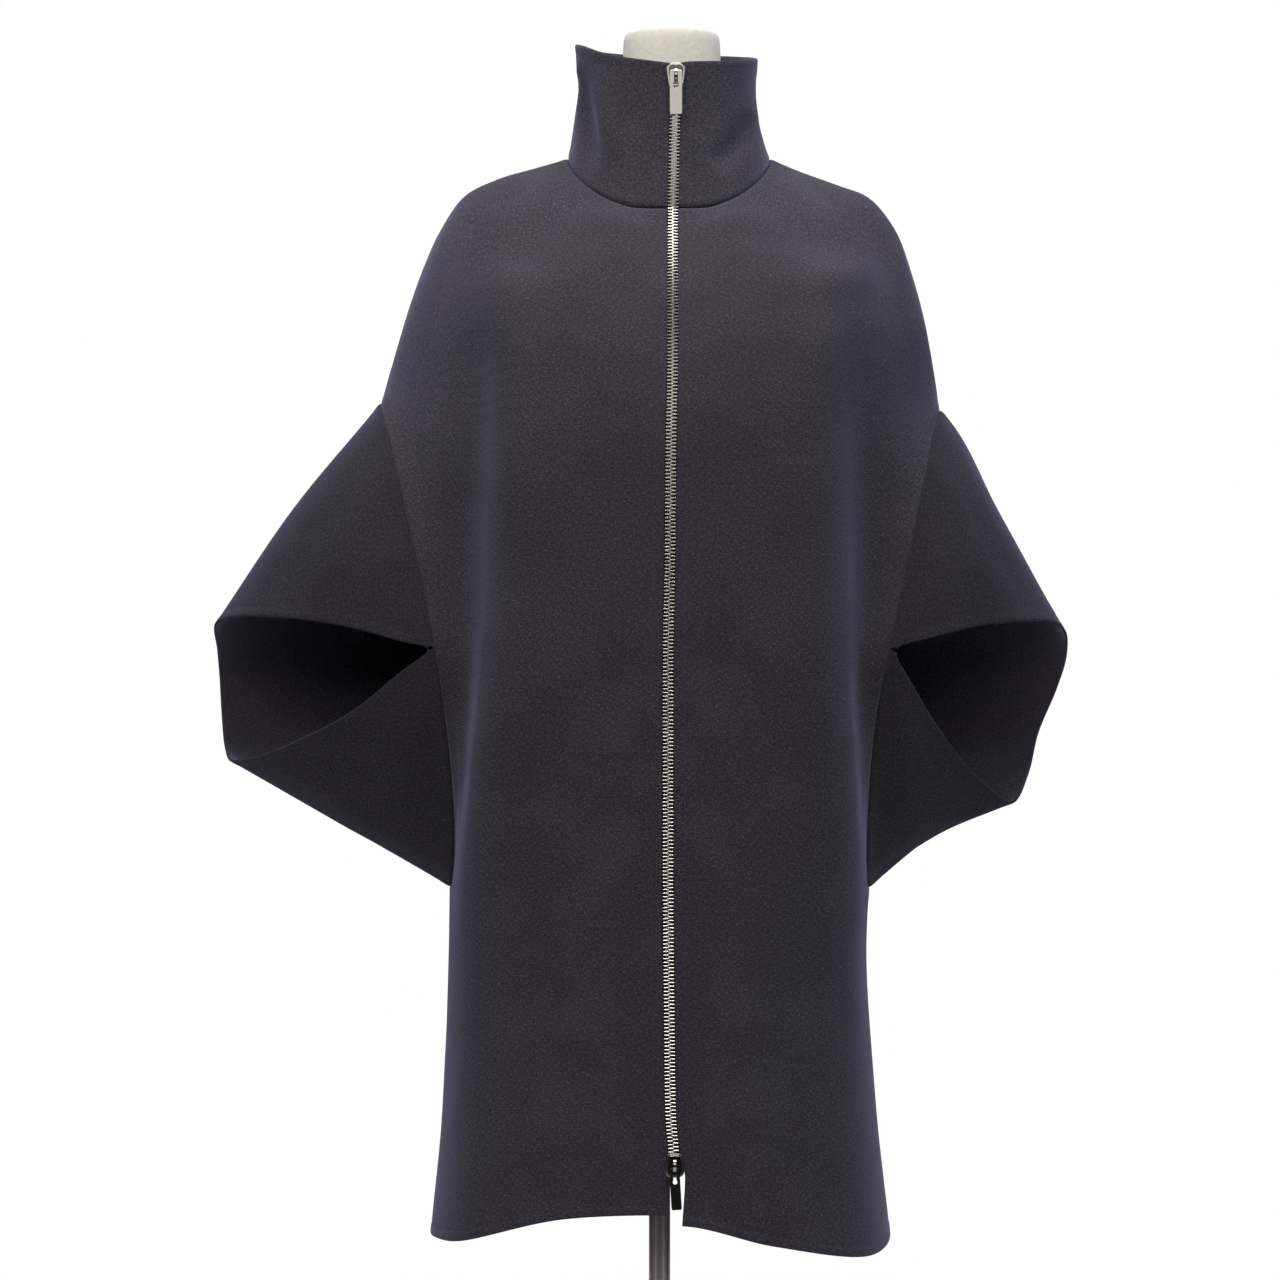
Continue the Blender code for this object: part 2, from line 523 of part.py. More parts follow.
def back_controls_at(side, centre_z, ridge_z, valley_z):
    centre_y = read_table(BACK_LEVELS, centre_z, "centre_y")[0]
    ridge_out, ridge_y = read_table(BACK_LEVELS, ridge_z, "ridge_out", "ridge_y")
    valley_out, valley_y = read_table(BACK_LEVELS, valley_z, "valley_out", "valley_y")
    centre = np.array([mix(0.004, NECK_X, 0.5), centre_y, centre_z])
    ridge = world(side, ridge_out, ridge_y, ridge_z)
    return [world(side, valley_out, valley_y, valley_z), ridge, back_middle(centre, ridge), centre]


def back_middle(centre, ridge):
    middle = mix(ridge, centre, BACK_MIDDLE_SHARE)
    middle[1] = mix(centre[1], ridge[1], FLANK_SLOPE)
    return middle


def seam_normal(along, across, outward):
    """Normal shared by the cloth on both sides of a seam."""
    normal = unit(np.cross(unit(along), unit(across)))
    return normal if np.dot(normal, outward) > 0 else -normal


def in_plane(vector, normal):
    """A direction turned into the plane square to a normal."""
    return unit(vector - normal * np.dot(vector, normal))


def cuff_path(side):
    """The cuff's loop from the slit's point over the top fold, the back and the bottom fold."""
    rows = list(CUFF_UPPER[side]) + list(CUFF_BACK[side]) + list(CUFF_LOWER[side])
    shares = [row.share for row in CUFF_UPPER[side]]
    shares += [1 + row.share for row in CUFF_BACK[side]]
    shares += [2 + row.share for row in CUFF_LOWER[side]]
    path = Path([world(side, row.out, row.y, row.height) for row in rows])
    return path, shares, [row.belly for row in rows]


def cuff_at(cuff, share):
    """Cuff point and belly at a share of the way round, 0 to 3."""
    path, shares, bellies = cuff
    return path.at(pchip(shares, list(path.knots), share)), pchip(shares, bellies, share)


Station = namedtuple("Station", "seam cuff belly normal ease")


def sleeve_stations(side, fronts, halves):
    """Stations round the sleeve, each with its seam point, its cuff point and the shared normal."""
    armhole, behind = armhole_samples(side)
    slit = len(ARM_UPPER_STEPS) - 1
    first = len(SHOULDER_STEPS)
    count = len(armhole)
    loop, shares, bodies = [], [], []
    for index in range(slit, -1, -1):
        loop.append(armhole[index])
        shares.append(mix(1.0, 0.0, ARM_UPPER_STEPS[index]))
        bodies.append(armhole[index] - fronts[first + index][3])
    for index in range(1, count):
        loop.append(behind[index])
        shares.append(1.0 + ARM_BACK_STEPS[index])
        bodies.append(behind[index] - halves[first + index][1])
    for index in range(count - 2, slit - 1, -1):
        loop.append(armhole[index])
        done = ARM_LOWER_STEPS[index - slit - 1] if index > slit else 0.0
        shares.append(3.0 - done)
        bodies.append(armhole[index] - fronts[first + index][3])
    top, underarm = slit, slit + count - 1
    bodies[top] = loop[top] - fronts[first - 1][4]
    bodies[underarm] = loop[underarm] - fronts[first + count][4]
    cuff = cuff_path(side)
    middle = np.array([SIGN[side] * 0.19, 0.0, 0.96])
    stations = []
    for index, (seam, share, body) in enumerate(zip(loop, shares, bodies)):
        edge, belly = cuff_at(cuff, share)
        before = loop[index - 1] if index > 0 else loop[-2]
        after = loop[index + 1] if index < len(loop) - 1 else loop[1]
        across = unit(body) + unit(edge - seam)
        normal = seam_normal(after - before, across, seam - middle)
        stations.append(Station(seam, edge, belly, normal, seam_ease(side, body, edge - seam)))
    return stations


def seam_ease(side, body, chord):
    """How far the sleeve leaves its seam in line with the body, less where the two turn sharply."""
    straight, sharp = UNDERARM_SHARP
    turn = (straight - np.dot(unit(body), unit(chord))) / (straight - sharp)
    return mix(1.0, UNDERARM_EASE[side], min(1.0, max(0.0, turn)))


def arm_normals(side, stations):
    """The sleeve's seam normals sorted onto the front rows and the back rows."""
    slit = len(ARM_UPPER_STEPS) - 1
    count = len(ARM_BACK_STEPS)
    upper = [stations[index].normal for index in range(slit, -1, -1)]
    behind = [stations[slit + index].normal for index in range(count)]
    lower = [stations[len(stations) - 1 - index].normal for index in range(1, len(ARM_LOWER_STEPS))]
    return upper + lower + [behind[-1]], behind


def edge_normals(side, fronts, halves, stations):
    """Shared normals down the outer edge of a front, and down that edge of the back."""
    outer = [row[4] for row in fronts]
    first = len(SHOULDER_STEPS)
    arm_front, arm_back = arm_normals(side, stations)
    last = first + len(arm_front)
    normals = []
    for index in range(len(outer)):
        if first <= index < last:
            normals.append(None)
            continue
        before = outer[index - 1] if index not in (0, last) else outer[index]
        after = outer[index + 1] if index not in (first - 1, len(outer) - 1) else outer[index]
        if index == last:
            before = outer[index - 1]
        across = unit(outer[index] - fronts[index][3]) + unit(halves[index][1] - outer[index])
        normals.append(seam_normal(after - before, across, np.array([SIGN[side], 0.0, 0.6])))
    front_edge = normals[:first] + arm_front + normals[last:]
    back_edge = normals[:first] + arm_back + normals[last:]
    return front_edge, back_edge


def row_points(controls, steps, first=None, last=None):
    """Points along one row, each span between control points cut into its number of steps."""
    path = Path(controls, first, last)
    points = [path.points[0]]
    for index, count in enumerate(steps):
        points += [path.span(index, k / count) for k in range(1, count + 1)]
    return points, path


def front_grid(side, rows, normals):
    """Outer face of one front, as rows of points from the zip's edge to the outer seam."""
    grid = []
    for controls, normal in zip(rows, normals):
        outward = np.array([SIGN[side], 0.0, 0.0])
        last = in_plane(controls[4] - controls[3], normal)
        points, path = row_points(controls, SPAN_STEPS["front"], outward, last)
        half = read_table(CENTRE_FRONT, controls[0][2], side + "_half")[0]
        points[0] = path.at(half)
        grid.append(points)
    grid[0] = neck_row(side, front_neck_angles(side))
    return np.array(grid)


def front_neck_angles(side):
    """Angles of the neckline's points along one front, the first at the zip's edge."""
    start = math.degrees(math.asin((abs(neck_gap(side)) / NECK_HALF_WIDTH)))
    stops = (start,) + FRONT_NECK_STOPS[1:]
    return spread(stops, SPAN_STEPS["front"])


def neck_gap(side):
    zip_x = zip_point(NECK_HEIGHTS[0])[0]
    return zip_x + SIGN[side] * ZIP_HALF - NECK_X


def spread(stops, steps):
    """Numbers between stops, each span cut into its number of steps."""
    values = [stops[0]]
    for low, high, count in zip(stops, stops[1:], steps):
        values += [mix(low, high, k / count) for k in range(1, count + 1)]
    return values


def neck_row(side, angles):
    return [neck_point(angle, side) for angle in angles]


def back_grid(halves, normals):
    """Outer face of the back, as rows of points from the right seam to the left seam."""
    grid = []
    steps = SPAN_STEPS["back"]
    for right, left, right_normal, left_normal in zip(halves["right"], halves["left"],
                                                      normals["right"], normals["left"]):
        centre = (right[4] + left[4]) / 2
        controls = right[:4] + [centre] + left[3::-1]
        first = in_plane(right[1] - right[0], right_normal)
        last = in_plane(left[0] - left[1], left_normal)
        points, _ = row_points(controls, steps + steps[::-1], first, last)
        grid.append(points)
    angles = spread(BACK_NECK_STOPS, steps)
    grid[0] = neck_row("right", angles) + neck_row("left", angles)[-2::-1]
    return np.array(grid)


def sleeve_grid(stations):
    """Outer face of one sleeve, a row for each station from its seam to its cuff."""
    grid = []
    for index, station in enumerate(stations):
        seam = station.seam.copy()
        if index == 0:
            seam = seam + unit(stations[1].seam - seam) * SLIT_PARTING
        if index == len(stations) - 1:
            seam = seam + unit(stations[index - 1].seam - seam) * SLIT_PARTING
        chord = station.cuff - seam
        middle = mix(seam, station.cuff, 0.5) + station.normal * station.belly
        leaving = unit(mix(unit(chord), in_plane(chord, station.normal), station.ease))
        path = Path([seam, middle, station.cuff], first=leaving)
        grid.append([path.at(share * path.knots[-1]) for share in SLEEVE_STEPS])
    return np.array(grid)


def grid_normals(grid, outward_hint):
    """Normals of a grid of points, all on the side of the hint."""
    down = np.gradient(grid, axis=0)
    along = np.gradient(grid, axis=1)
    normals = np.cross(down, along)
    normals /= np.linalg.norm(normals, axis=2)[:, :, None]
    middle = tuple(size // 2 for size in grid.shape[:2])
    if np.dot(normals[middle], outward_hint) < 0:
        normals = -normals
    return normals


def draw_back(grid, edges):
    """Move the named edges of a grid back along the cloth by half of the seam's gap."""
    moved = grid.copy()
    for edge in edges:
        at, beside = {"top": ((0,), (1,)), "bottom": ((-1,), (-2,)),
                      "start": ((slice(None), 0), (slice(None), 1)),
                      "end": ((slice(None), -1), (slice(None), -2))}[edge]
        step = grid[beside] - grid[at]
        moved[at] += step / np.linalg.norm(step, axis=-1)[..., None] * HALF_GAP
    return moved


def wall_mesh(name, outer, inner):
    """Closed wall between an outer and an inner grid of points."""
    rows, columns = outer.shape[:2]
    count = rows * columns
    points = np.concatenate([outer.reshape(-1, 3), inner.reshape(-1, 3)])
    faces = []
    for i in range(rows - 1):
        for j in range(columns - 1):
            a, b = i * columns + j, i * columns + j + 1
            c, d = b + columns, a + columns
            faces.append((a, b, c, d))
            faces.append((d + count, c + count, b + count, a + count))
    rim = [j for j in range(columns)]
    rim += [i * columns + columns - 1 for i in range(1, rows)]
    rim += [(rows - 1) * columns + j for j in range(columns - 2, -1, -1)]
    rim += [i * columns for i in range(rows - 2, 0, -1)]
    for a, b in zip(rim, rim[1:] + rim[:1]):
        faces.append((b, a, a + count, b + count))
    mesh = bpy.data.meshes.new(name)
    mesh.from_pydata([tuple(point) for point in points], [], faces)
    tidy_mesh(mesh)
    return mesh


def tidy_mesh(mesh):
    """Split the faces into triangles and point them outwards."""
    body = bmesh.new()
    body.from_mesh(mesh)
    bmesh.ops.triangulate(body, faces=body.faces[:], quad_method="SHORT_EDGE")
    bmesh.ops.recalc_face_normals(body, faces=body.faces[:])
    body.to_mesh(mesh)
    body.free()
    mesh.update()


def set_edge_normals(normals, start=None, end=None):
    if start is not None:
        normals[:, 0] = np.array(start)
    if end is not None:
        normals[:, -1] = np.array(end)


def make_material(name, colour, roughness, metallic=0.0):
    material = bpy.data.materials.new(name)
    material.use_nodes = True
    shader = material.node_tree.nodes["Principled BSDF"]
    shader.inputs["Base Color"].default_value = (*colour, 1.0)
    shader.inputs["Roughness"].default_value = roughness
    shader.inputs["Metallic"].default_value = metallic
    material.diffuse_color = (*colour, 1.0)
    return material


def add_object(mesh, material, collection, smooth_angle=40):
    part = bpy.data.objects.new(mesh.name, mesh)
    mesh.materials.append(material)
    mesh.shade_smooth()
    mesh.set_sharp_from_angle(angle=math.radians(smooth_angle))
    collection.objects.link(part)
    return part


def collar_angles(side):
    """Angles of the collar's columns on one side, matching the panels' points at the neckline."""
    front = front_neck_angles(side)
    back = spread(BACK_NECK_STOPS, SPAN_STEPS["back"])
    return front + back[1:]


def rim_point(angle, side, start):
    """Point of the collar's rim at an angle. The first point stays beside the zip."""
    turn = math.radians(angle)
    depth = RIM_FRONT if angle < 90 else RIM_BACK
    x = RIM_X + SIGN[side] * RIM_HALF_WIDTH * math.sin(turn)
    point = np.array([x, RIM_Y - depth * math.cos(turn), pchip(RIM_ANGLES, RIM_HEIGHTS[side], angle)])
    near_zip = max(0.0, 1 - (angle - start) / FRONT_NECK_STOPS[1])
    edge = RIM_ZIP_X + SIGN[side] * ZIP_HALF
    return point + np.array([(edge - (RIM_X + SIGN[side] * RIM_HALF_WIDTH * math.sin(math.radians(start))))
                             * near_zip, 0.0, 0.0])


def collar_columns():
    """Angle and side of each column of the collar, from the right front edge round to the left."""
    right = [(angle, "right") for angle in collar_angles("right")]
    left = [(angle, "left") for angle in collar_angles("left")]
    return right + left[-2::-1]


def crease_depth(angle, side, rise):
    """How far a crease of the collar's side pushes the cloth inwards."""
    crease = COLLAR_CREASES[side]
    at = mix(crease.angle_low, crease.angle_high, rise)
    near = max(0.0, 1 - abs(angle - at) / crease.half_angle)
    return crease.depth * near * near * (3 - 2 * near) * math.sin(math.pi * min(1.0, rise * 1.15))


def collar_grid():
    """Outer face of the collar, as rows from the neckline seam up to the rim."""
    columns = collar_columns()
    starts = {side: front_neck_angles(side)[0] for side in SIGN}
    grid = []
    for rise in COLLAR_RISES:
        row = []
        for angle, side in columns:
            base = neck_point(angle, side)
            point = mix(base, rim_point(angle, side, starts[side]), rise)
            aside = 0.0 if angle == starts[side] else NECK_X - base[0]
            inward = unit(np.array([aside, NECK_Y - base[1], 0.0]))
            waist = RIM_FLARE * math.sin(math.pi * rise)
            row.append(point + inward * (waist + crease_depth(angle, side, rise)))
        grid.append(row)
    return np.array(grid)


def neckline_normals(collar_normals, panel_normals):
    """Mitre between the collar and the panels at the neckline."""
    mitres = collar_normals + panel_normals
    length = np.linalg.norm(mitres, axis=1)[:, None]
    half = length / 2
    return mitres / length / half


def build_cloth(collection, wool):
    """All the cloth pieces. Returns the grids that the zip is made from."""
    fronts = {side: front_rows(side) for side in SIGN}
    halves = {side: back_half(side) for side in SIGN}
    stations = {side: sleeve_stations(side, fronts[side], halves[side]) for side in SIGN}
    edges = {side: edge_normals(side, fronts[side], halves[side], stations[side]) for side in SIGN}

    front_grids = {side: front_grid(side, fronts[side], edges[side][0]) for side in SIGN}
    back = back_grid(halves, {side: edges[side][1] for side in SIGN})
    collar = collar_grid()

    forward = np.array([0.0, -1.0, 0.0])
    normals = {side: grid_normals(front_grids[side], forward) for side in SIGN}
    back_normals = grid_normals(back, -forward)
    collar_normals = grid_normals(collar, -forward)
    if np.dot(collar_normals[2, 0], forward) < 0:
        collar_normals = -collar_normals
    for side in SIGN:
        set_edge_normals(normals[side], start=flat_all(normals[side][:, 0]), end=edges[side][0])
    set_edge_normals(collar_normals, start=flat_all(collar_normals[:, 0]), end=flat_all(collar_normals[:, -1]))
    set_edge_normals(back_normals, start=edges["right"][1], end=edges["left"][1])

    panel_row = np.concatenate([normals["right"][0], back_normals[0][1:-1], normals["left"][0][::-1]])
    mitre = neckline_normals(collar_normals[0], panel_row)
    corner = len(normals["right"][0])
    collar_normals[0] = mitre
    normals["right"][0] = mitre[:corner]
    back_normals[0] = mitre[corner - 1:len(mitre) - corner + 1]
    normals["left"][0] = mitre[len(mitre) - corner:][::-1]

    for side in SIGN:
        outer = draw_back(front_grids[side], ("top", "end"))
        add_object(wall_mesh("front_" + side, outer, outer - normals[side] * WALL), wool, collection)
    outer = draw_back(back, ("top", "start", "end"))
    add_object(wall_mesh("back", outer, outer - back_normals * WALL), wool, collection)
    outer = draw_back(collar, ("top",))
    add_object(wall_mesh("collar", outer, outer - collar_normals * WALL), wool, collection)

    for side in SIGN:
        grid = sleeve_grid(stations[side])
        sleeve_normals = grid_normals(grid, world(side, 1.0, 0.0, 0.0))
        middle = sleeve_normals.shape[0] // 2
        if np.dot(sleeve_normals[middle, 2], np.array([0.0, 1.0, 0.0])) < 0:
            sleeve_normals = -sleeve_normals
        set_edge_normals(sleeve_normals, start=[station.normal for station in stations[side]])
        outer = draw_back(grid, ("start",))
        add_object(wall_mesh("sleeve_" + side, outer, outer - sleeve_normals * WALL), wool, collection)
    return front_grids, normals, collar, collar_normals


def facet_rows(side, front_grid, normals, collar, collar_normals):
    """The strip of cloth beside the zip, rim to hem: its two points and their normals on each row."""
    edge, beside = (0, 1) if side == "right" else (-1, -2)
    rows = [(collar[row, edge], collar[row, beside], collar_normals[row, edge], collar_normals[row, beside])
            for row in range(len(COLLAR_RISES) - 1, 0, -1)]
    rows += [(points[0], points[1], turned_to[0], turned_to[1])
             for points, turned_to in zip(front_grid, normals)]
    return [np.array(row) for row in rows]


def zip_track(facets):
    """The zip's line from the rim down, with the direction out of the cloth at each point."""
    track = []
    for index, row in enumerate(facets):
        on_collar = index < len(COLLAR_RISES) - 1
        share = row[0][2]
        point = np.array([rim_zip_x(share), row[0][1], share]) if on_collar else zip_point(share)
        track.append(np.array([point, flat(row[2])]))
    return track


def rim_zip_x(height):
    """The zip's place across the collar at a height."""
    share = (height - NECK_HEIGHTS[0]) / (RIM_HEIGHTS["right"][0] - NECK_HEIGHTS[0])
    return mix(zip_point(NECK_HEIGHTS[0])[0], RIM_ZIP_X, share)


def flat_all(normals):
    return np.array([flat(normal) for normal in normals])


def flat(normal):
    """A normal with no lean to either side."""
    return unit(np.array([0.0, normal[1], normal[2]]))


def cut_rows(rows, end):
    """The part of a list of rows above a height, ending exactly there."""
    kept = [row for row in rows if row[0][2] > end]
    before, after = kept[-1], rows[len(kept)]
    share = (before[0][2] - end) / (before[0][2] - after[0][2])
    return kept + [mix(before, after, share)]


def trim_rows(rows, start):
    """The part of a list of rows below a height, starting exactly there."""
    kept = [row for row in rows if row[0][2] < start]
    before, after = rows[len(rows) - len(kept) - 1], kept[0]
    share = (before[0][2] - start) / (before[0][2] - after[0][2])
    return [mix(before, after, share)] + kept


def tape_mesh(side, facets):
    """One tape, lying behind its front edge from near the zip's middle."""
    outer, inner = [], []
    under = WALL + TAPE_CLEAR
    for edge, beside, edge_normal, beside_normal in cut_rows(facets, TAPE_END):
        half = SIGN[side] * (edge[0] - zip_x_at(edge[2]))
        length = np.linalg.norm(beside - edge)
        shares = ((HALF_GAP - half) / length, (TAPE_WIDTH - ZIP_HALF) / length)
        points = [mix(edge, beside, share) for share in shares]
        normals = [mix(edge_normal, beside_normal, share) for share in shares]
        outer.append([point - normal * under for point, normal in zip(points, normals)])
        inner.append([point - normal * (under + TAPE_THICK) for point, normal in zip(points, normals)])
    for face in (outer, inner):
        face[0] = [point - np.array([0.0, 0.0, TAPE_TOP_DROP]) for point in face[0]]
    return wall_mesh("zip_tape_" + side, np.array(outer), np.array(inner))


def zip_x_at(height):
    return rim_zip_x(height) if height > NECK_HEIGHTS[0] else zip_point(height)[0]


def chain_mesh(track):
    """The closed teeth as a plain strip between the front edges."""
    start = SLIDER_TOP_Z + SLIDER_HEIGHT / 2
    across = np.array([CHAIN_WIDTH / 2, 0.0, 0.0])
    rows = cut_rows(trim_rows(track, start), CHAIN_END)
    outer = [[point + across * side + normal * CHAIN_PROUD for side in (-1, 1)] for point, normal in rows]
    inner = [[point + across * side - normal * CHAIN_SUNK for side in (-1, 1)] for point, normal in rows]
    return wall_mesh("zip_chain", np.array(outer), np.array(inner))


def build_zip(collection, facets, track, metal, tape):
    """The two tapes behind the front edges, and the closed teeth."""
    for side in SIGN:
        add_object(tape_mesh(side, facets[side]), tape, collection)
    add_object(chain_mesh(track), metal, collection)


def track_at(track, height):
    return trim_rows(track, height)[0]


def box(name, size, centre):
    mesh = bpy.data.meshes.new(name)
    body = bmesh.new()
    bmesh.ops.create_cube(body, size=1.0)
    bmesh.ops.scale(body, vec=size, verts=body.verts[:])
    bmesh.ops.translate(body, vec=centre, verts=body.verts[:])
    body.to_mesh(mesh)
    body.free()
    return mesh


def slider_frame(track, height):
    """Where a slider sits: the zip's line there, and how the line leans."""
    point, normal = track_at(track, height)
    lean = math.atan2(normal[2], -normal[1])
    return point, lean


def slider_outline_top():
    """Outline of a slider that is wide and round at its top."""
    half_height = SLIDER_HEIGHT / 2
    wide, narrow = SLIDER_WIDE / 2, SLIDER_NARROW / 2
    crown = [(wide * math.cos(math.radians(a)), half_height - wide * 0.55 * (1 - math.sin(math.radians(a))))
             for a in range(0, 181, 20)]
    return [(-narrow, -half_height), (narrow, -half_height)] + crown


def extrude_outline(name, outline, low, high):
    """Solid between two depths in Y with an outline in the XZ plane."""
    body = bmesh.new()
    base = [body.verts.new((x, low, z)) for x, z in outline]
    face = body.faces.new(base)
    result = bmesh.ops.extrude_face_region(body, geom=[face])
    moved = [item for item in result["geom"] if isinstance(item, bmesh.types.BMVert)]
    bmesh.ops.translate(body, vec=(0.0, high - low, 0.0), verts=moved)
    bmesh.ops.recalc_face_normals(body, faces=body.faces[:])
    mesh = bpy.data.meshes.new(name)
    body.to_mesh(mesh)
    body.free()
    return mesh


def add_cutter(mesh, cutters):
    cutter = bpy.data.objects.new(mesh.name, mesh)
    cutter.hide_render = True
    cutter.display_type = "WIRE"
    cutters.objects.link(cutter)
    return cutter


def combine(part, other, operation):
    step = part.modifiers.new(other.name, "BOOLEAN")
    step.operation = operation
    step.object = other


def build_slider(name, wide_end, place, lean, metal, collection, cutters):
    """A slider: its front plate, the flanges that hold the teeth, and the bridge for the pull."""
    outline = slider_outline_top()
    if wide_end == "bottom":
        outline = [(x, -z) for x, z in outline]
    face = -(CHAIN_PROUD + SLIDER_CLEAR)
    plate = extrude_outline(name, outline, face - SLIDER_PLATE, face)
    part = add_object(plate, metal, collection, 30)
    channel = CHAIN_WIDTH / 2 + SLIDER_CLEAR
    for sign, label in ((-1, "a"), (1, "b")):
        middle = sign * (channel + SLIDER_FLANGE / 2)
        flange = box(name + "_flange_" + label, (SLIDER_FLANGE, CHAIN_PROUD, SLIDER_HEIGHT * 0.9),
                     (middle, face + CHAIN_PROUD / 2 - 0.0001, 0.0))
        combine(part, place_as(add_cutter(flange, cutters), place, lean), "UNION")
    low, high = -BRIDGE_HIGH, 0.0005
    bridge = box(name + "_bridge", (BRIDGE_WIDTH, high - low, BRIDGE_LENGTH),
                 (0.0, face - SLIDER_PLATE + (high + low) / 2, 0.0))
    combine(part, place_as(add_cutter(bridge, cutters), place, lean), "UNION")
    window_high = BRIDGE_HIGH - BRIDGE_BAR
    window = box(name + "_window", (BRIDGE_WIDTH * 2, window_high, BRIDGE_LENGTH - 2 * BRIDGE_BAR),
                 (0.0, face - SLIDER_PLATE - window_high / 2, 0.0))
    combine(part, place_as(add_cutter(window, cutters), place, lean), "DIFFERENCE")
    place_as(part, place, lean)
    return part


def place_as(part, place, lean):
    part.location = tuple(place)
    part.rotation_euler = (-lean, 0.0, 0.0)
    return part


def build_pull(name, axis_point, width, length, metal, collection, cutters):
    """A slotted pull tab that hangs from its slider. Its origin is on the hinge axis."""
    outline = pull_outline(width, length, PULL_CORNER, PULL_BAR / 2)
    tab = extrude_outline(name, outline, -PULL_THICK / 2, PULL_THICK / 2)
    part = add_object(tab, metal, collection, 30)
    slot = pull_outline(PULL_SLOT_WIDTH, PULL_SLOT_LENGTH, PULL_SLOT_ROUND, -PULL_BAR / 2)
    cut = add_cutter(extrude_outline(name + "_slot", slot, -PULL_THICK, PULL_THICK), cutters)
    combine(part, cut, "DIFFERENCE")
    for piece in (part, cut):
        piece.location = tuple(axis_point)
    return part


def pull_outline(width, length, radius, top):
    """Rounded rectangle hanging below the axis, its top edge at a height above the axis."""
    half = width / 2
    centres = ((half - radius, top - radius, 0), (-half + radius, top - radius, 90),
               (-half + radius, top - length + radius, 180), (half - radius, top - length + radius, 270))
    outline = []
    for x, z, start in centres:
        for step in range(0, 91, 30):
            turn = math.radians(start + step)
            outline.append((x + radius * math.cos(turn), z + radius * math.sin(turn)))
    return outline


def build_sliders(collection, cutters, track, metal):
    """Both sliders and their pulls."""
    for name, height, wide_end, width, length in (
            ("top", SLIDER_TOP_Z, "top", PULL_WIDTH, PULL_LENGTH),
            ("bottom", SLIDER_BOTTOM_Z, "bottom", LOWER_PULL_WIDTH, LOWER_PULL_LENGTH)):
        place, lean = slider_frame(track, height)
        build_slider("slider_" + name, wide_end, place, lean, metal, collection, cutters)
        depth = CHAIN_PROUD + SLIDER_CLEAR + SLIDER_PLATE + (BRIDGE_HIGH - BRIDGE_BAR) / 2
        up = BRIDGE_LENGTH / 2 - BRIDGE_BAR - PULL_BAR / 2 - SLIDER_CLEAR
        if wide_end == "bottom":
            up = -up
        normal = np.array([0.0, -math.cos(lean), math.sin(lean)])
        upward = np.array([0.0, math.sin(lean), math.cos(lean)])
        axis_point = place + normal * depth + upward * up
        build_pull("pull_" + name, axis_point, width, length, metal, collection, cutters)


def form_ring(centre, half_right, half_left, front, back, square, slant=(0.0, 0.0), droop=0.0):
    """One closed ring of the form: a soft oval, with its own reach on each of its four sides.

    "slant" is how far its left tip stands behind and above its middle, and its right tip before and below.
    """
    ring = []
    for index in range(FORM_SIDES):
        turn = 2 * math.pi * index / FORM_SIDES
        sine, cosine = math.sin(turn), math.cos(turn)
        across = math.copysign(abs(sine) ** (2 / square), sine)
        depth = math.copysign(abs(cosine) ** (2 / square), cosine)
        half = half_left if across > 0 else half_right
        reach = front if depth > 0 else back
        y = slant[0] * across - reach * depth
        z = slant[1] * across - droop * reach * abs(depth)
        ring.append(centre + np.array([half * across, y, z]))
    return ring


def shoulder_ring(number, front, back):
    """Ring of the form's shoulders, which carry the cloth just above them."""
    tips = {}
    for side in SIGN:
        _, path = overarm_samples(side)
        point = path.row(number)
        along = path.row(number + 0.05) - path.row(number - 0.05)
        lift = unit(np.array([-SIGN[side] * along[2], 0.0, SIGN[side] * along[0]]))
        lift = lift if lift[2] > 0 else -lift
        tips[side] = point - lift * (WALL + FORM_CLEAR)
    centre = (tips["right"] + tips["left"]) / 2
    centre[0] = NECK_X
    slant = ((tips["left"] - tips["right"]) / 2)[1:]
    return form_ring(centre, centre[0] - tips["right"][0], tips["left"][0] - centre[0],
                     front, back, FORM_SHOULDER_SQUARE, slant, FORM_SHOULDER_DROOP)


def build_form(collection, material):
    """Torso and neck of the dress form, one smooth solid of rings."""
    def plain(ring):
        return form_ring(np.array([ring.lean, FORM_Y, ring.height]), ring.half_width, ring.half_width,
                         ring.front, ring.back, ring.square)

    rings = [plain(ring) for ring in FORM_LOWER]
    rings += [shoulder_ring(*row) for row in zip(FORM_SHOULDER_ROWS, FORM_SHOULDER_FRONT, FORM_SHOULDER_BACK)]
    rings += [plain(ring) for ring in FORM_NECK]
    body = bmesh.new()
    loops = [[body.verts.new(point) for point in ring] for ring in rings]
    for low, high in zip(loops, loops[1:]):
        for k in range(FORM_SIDES):
            after = (k + 1) % FORM_SIDES
            body.faces.new((low[k], low[after], high[after], high[k]))
    body.faces.new(loops[0][::-1])
    body.faces.new(loops[-1])
    mesh = bpy.data.meshes.new("form_body")
    body.to_mesh(mesh)
    body.free()
    tidy_mesh(mesh)
    add_object(mesh, material, collection, 60)


def turned(name, profile, sides, material, collection):
    """Solid of revolution round the Z axis from a profile of radius and height, top to bottom."""
    mesh = bpy.data.meshes.new(name)
    points = [(radius, 0.0, height) for radius, height in profile]
    mesh.from_pydata(points, [(k, k + 1) for k in range(len(points) - 1)], [])
    part = add_object(mesh, material, collection, 30)
    screw = part.modifiers.new("turn", "SCREW")
    screw.steps = sides
    screw.render_steps = sides
    screw.use_merge_vertices = True
    screw.merge_threshold = 0.00001
    return part


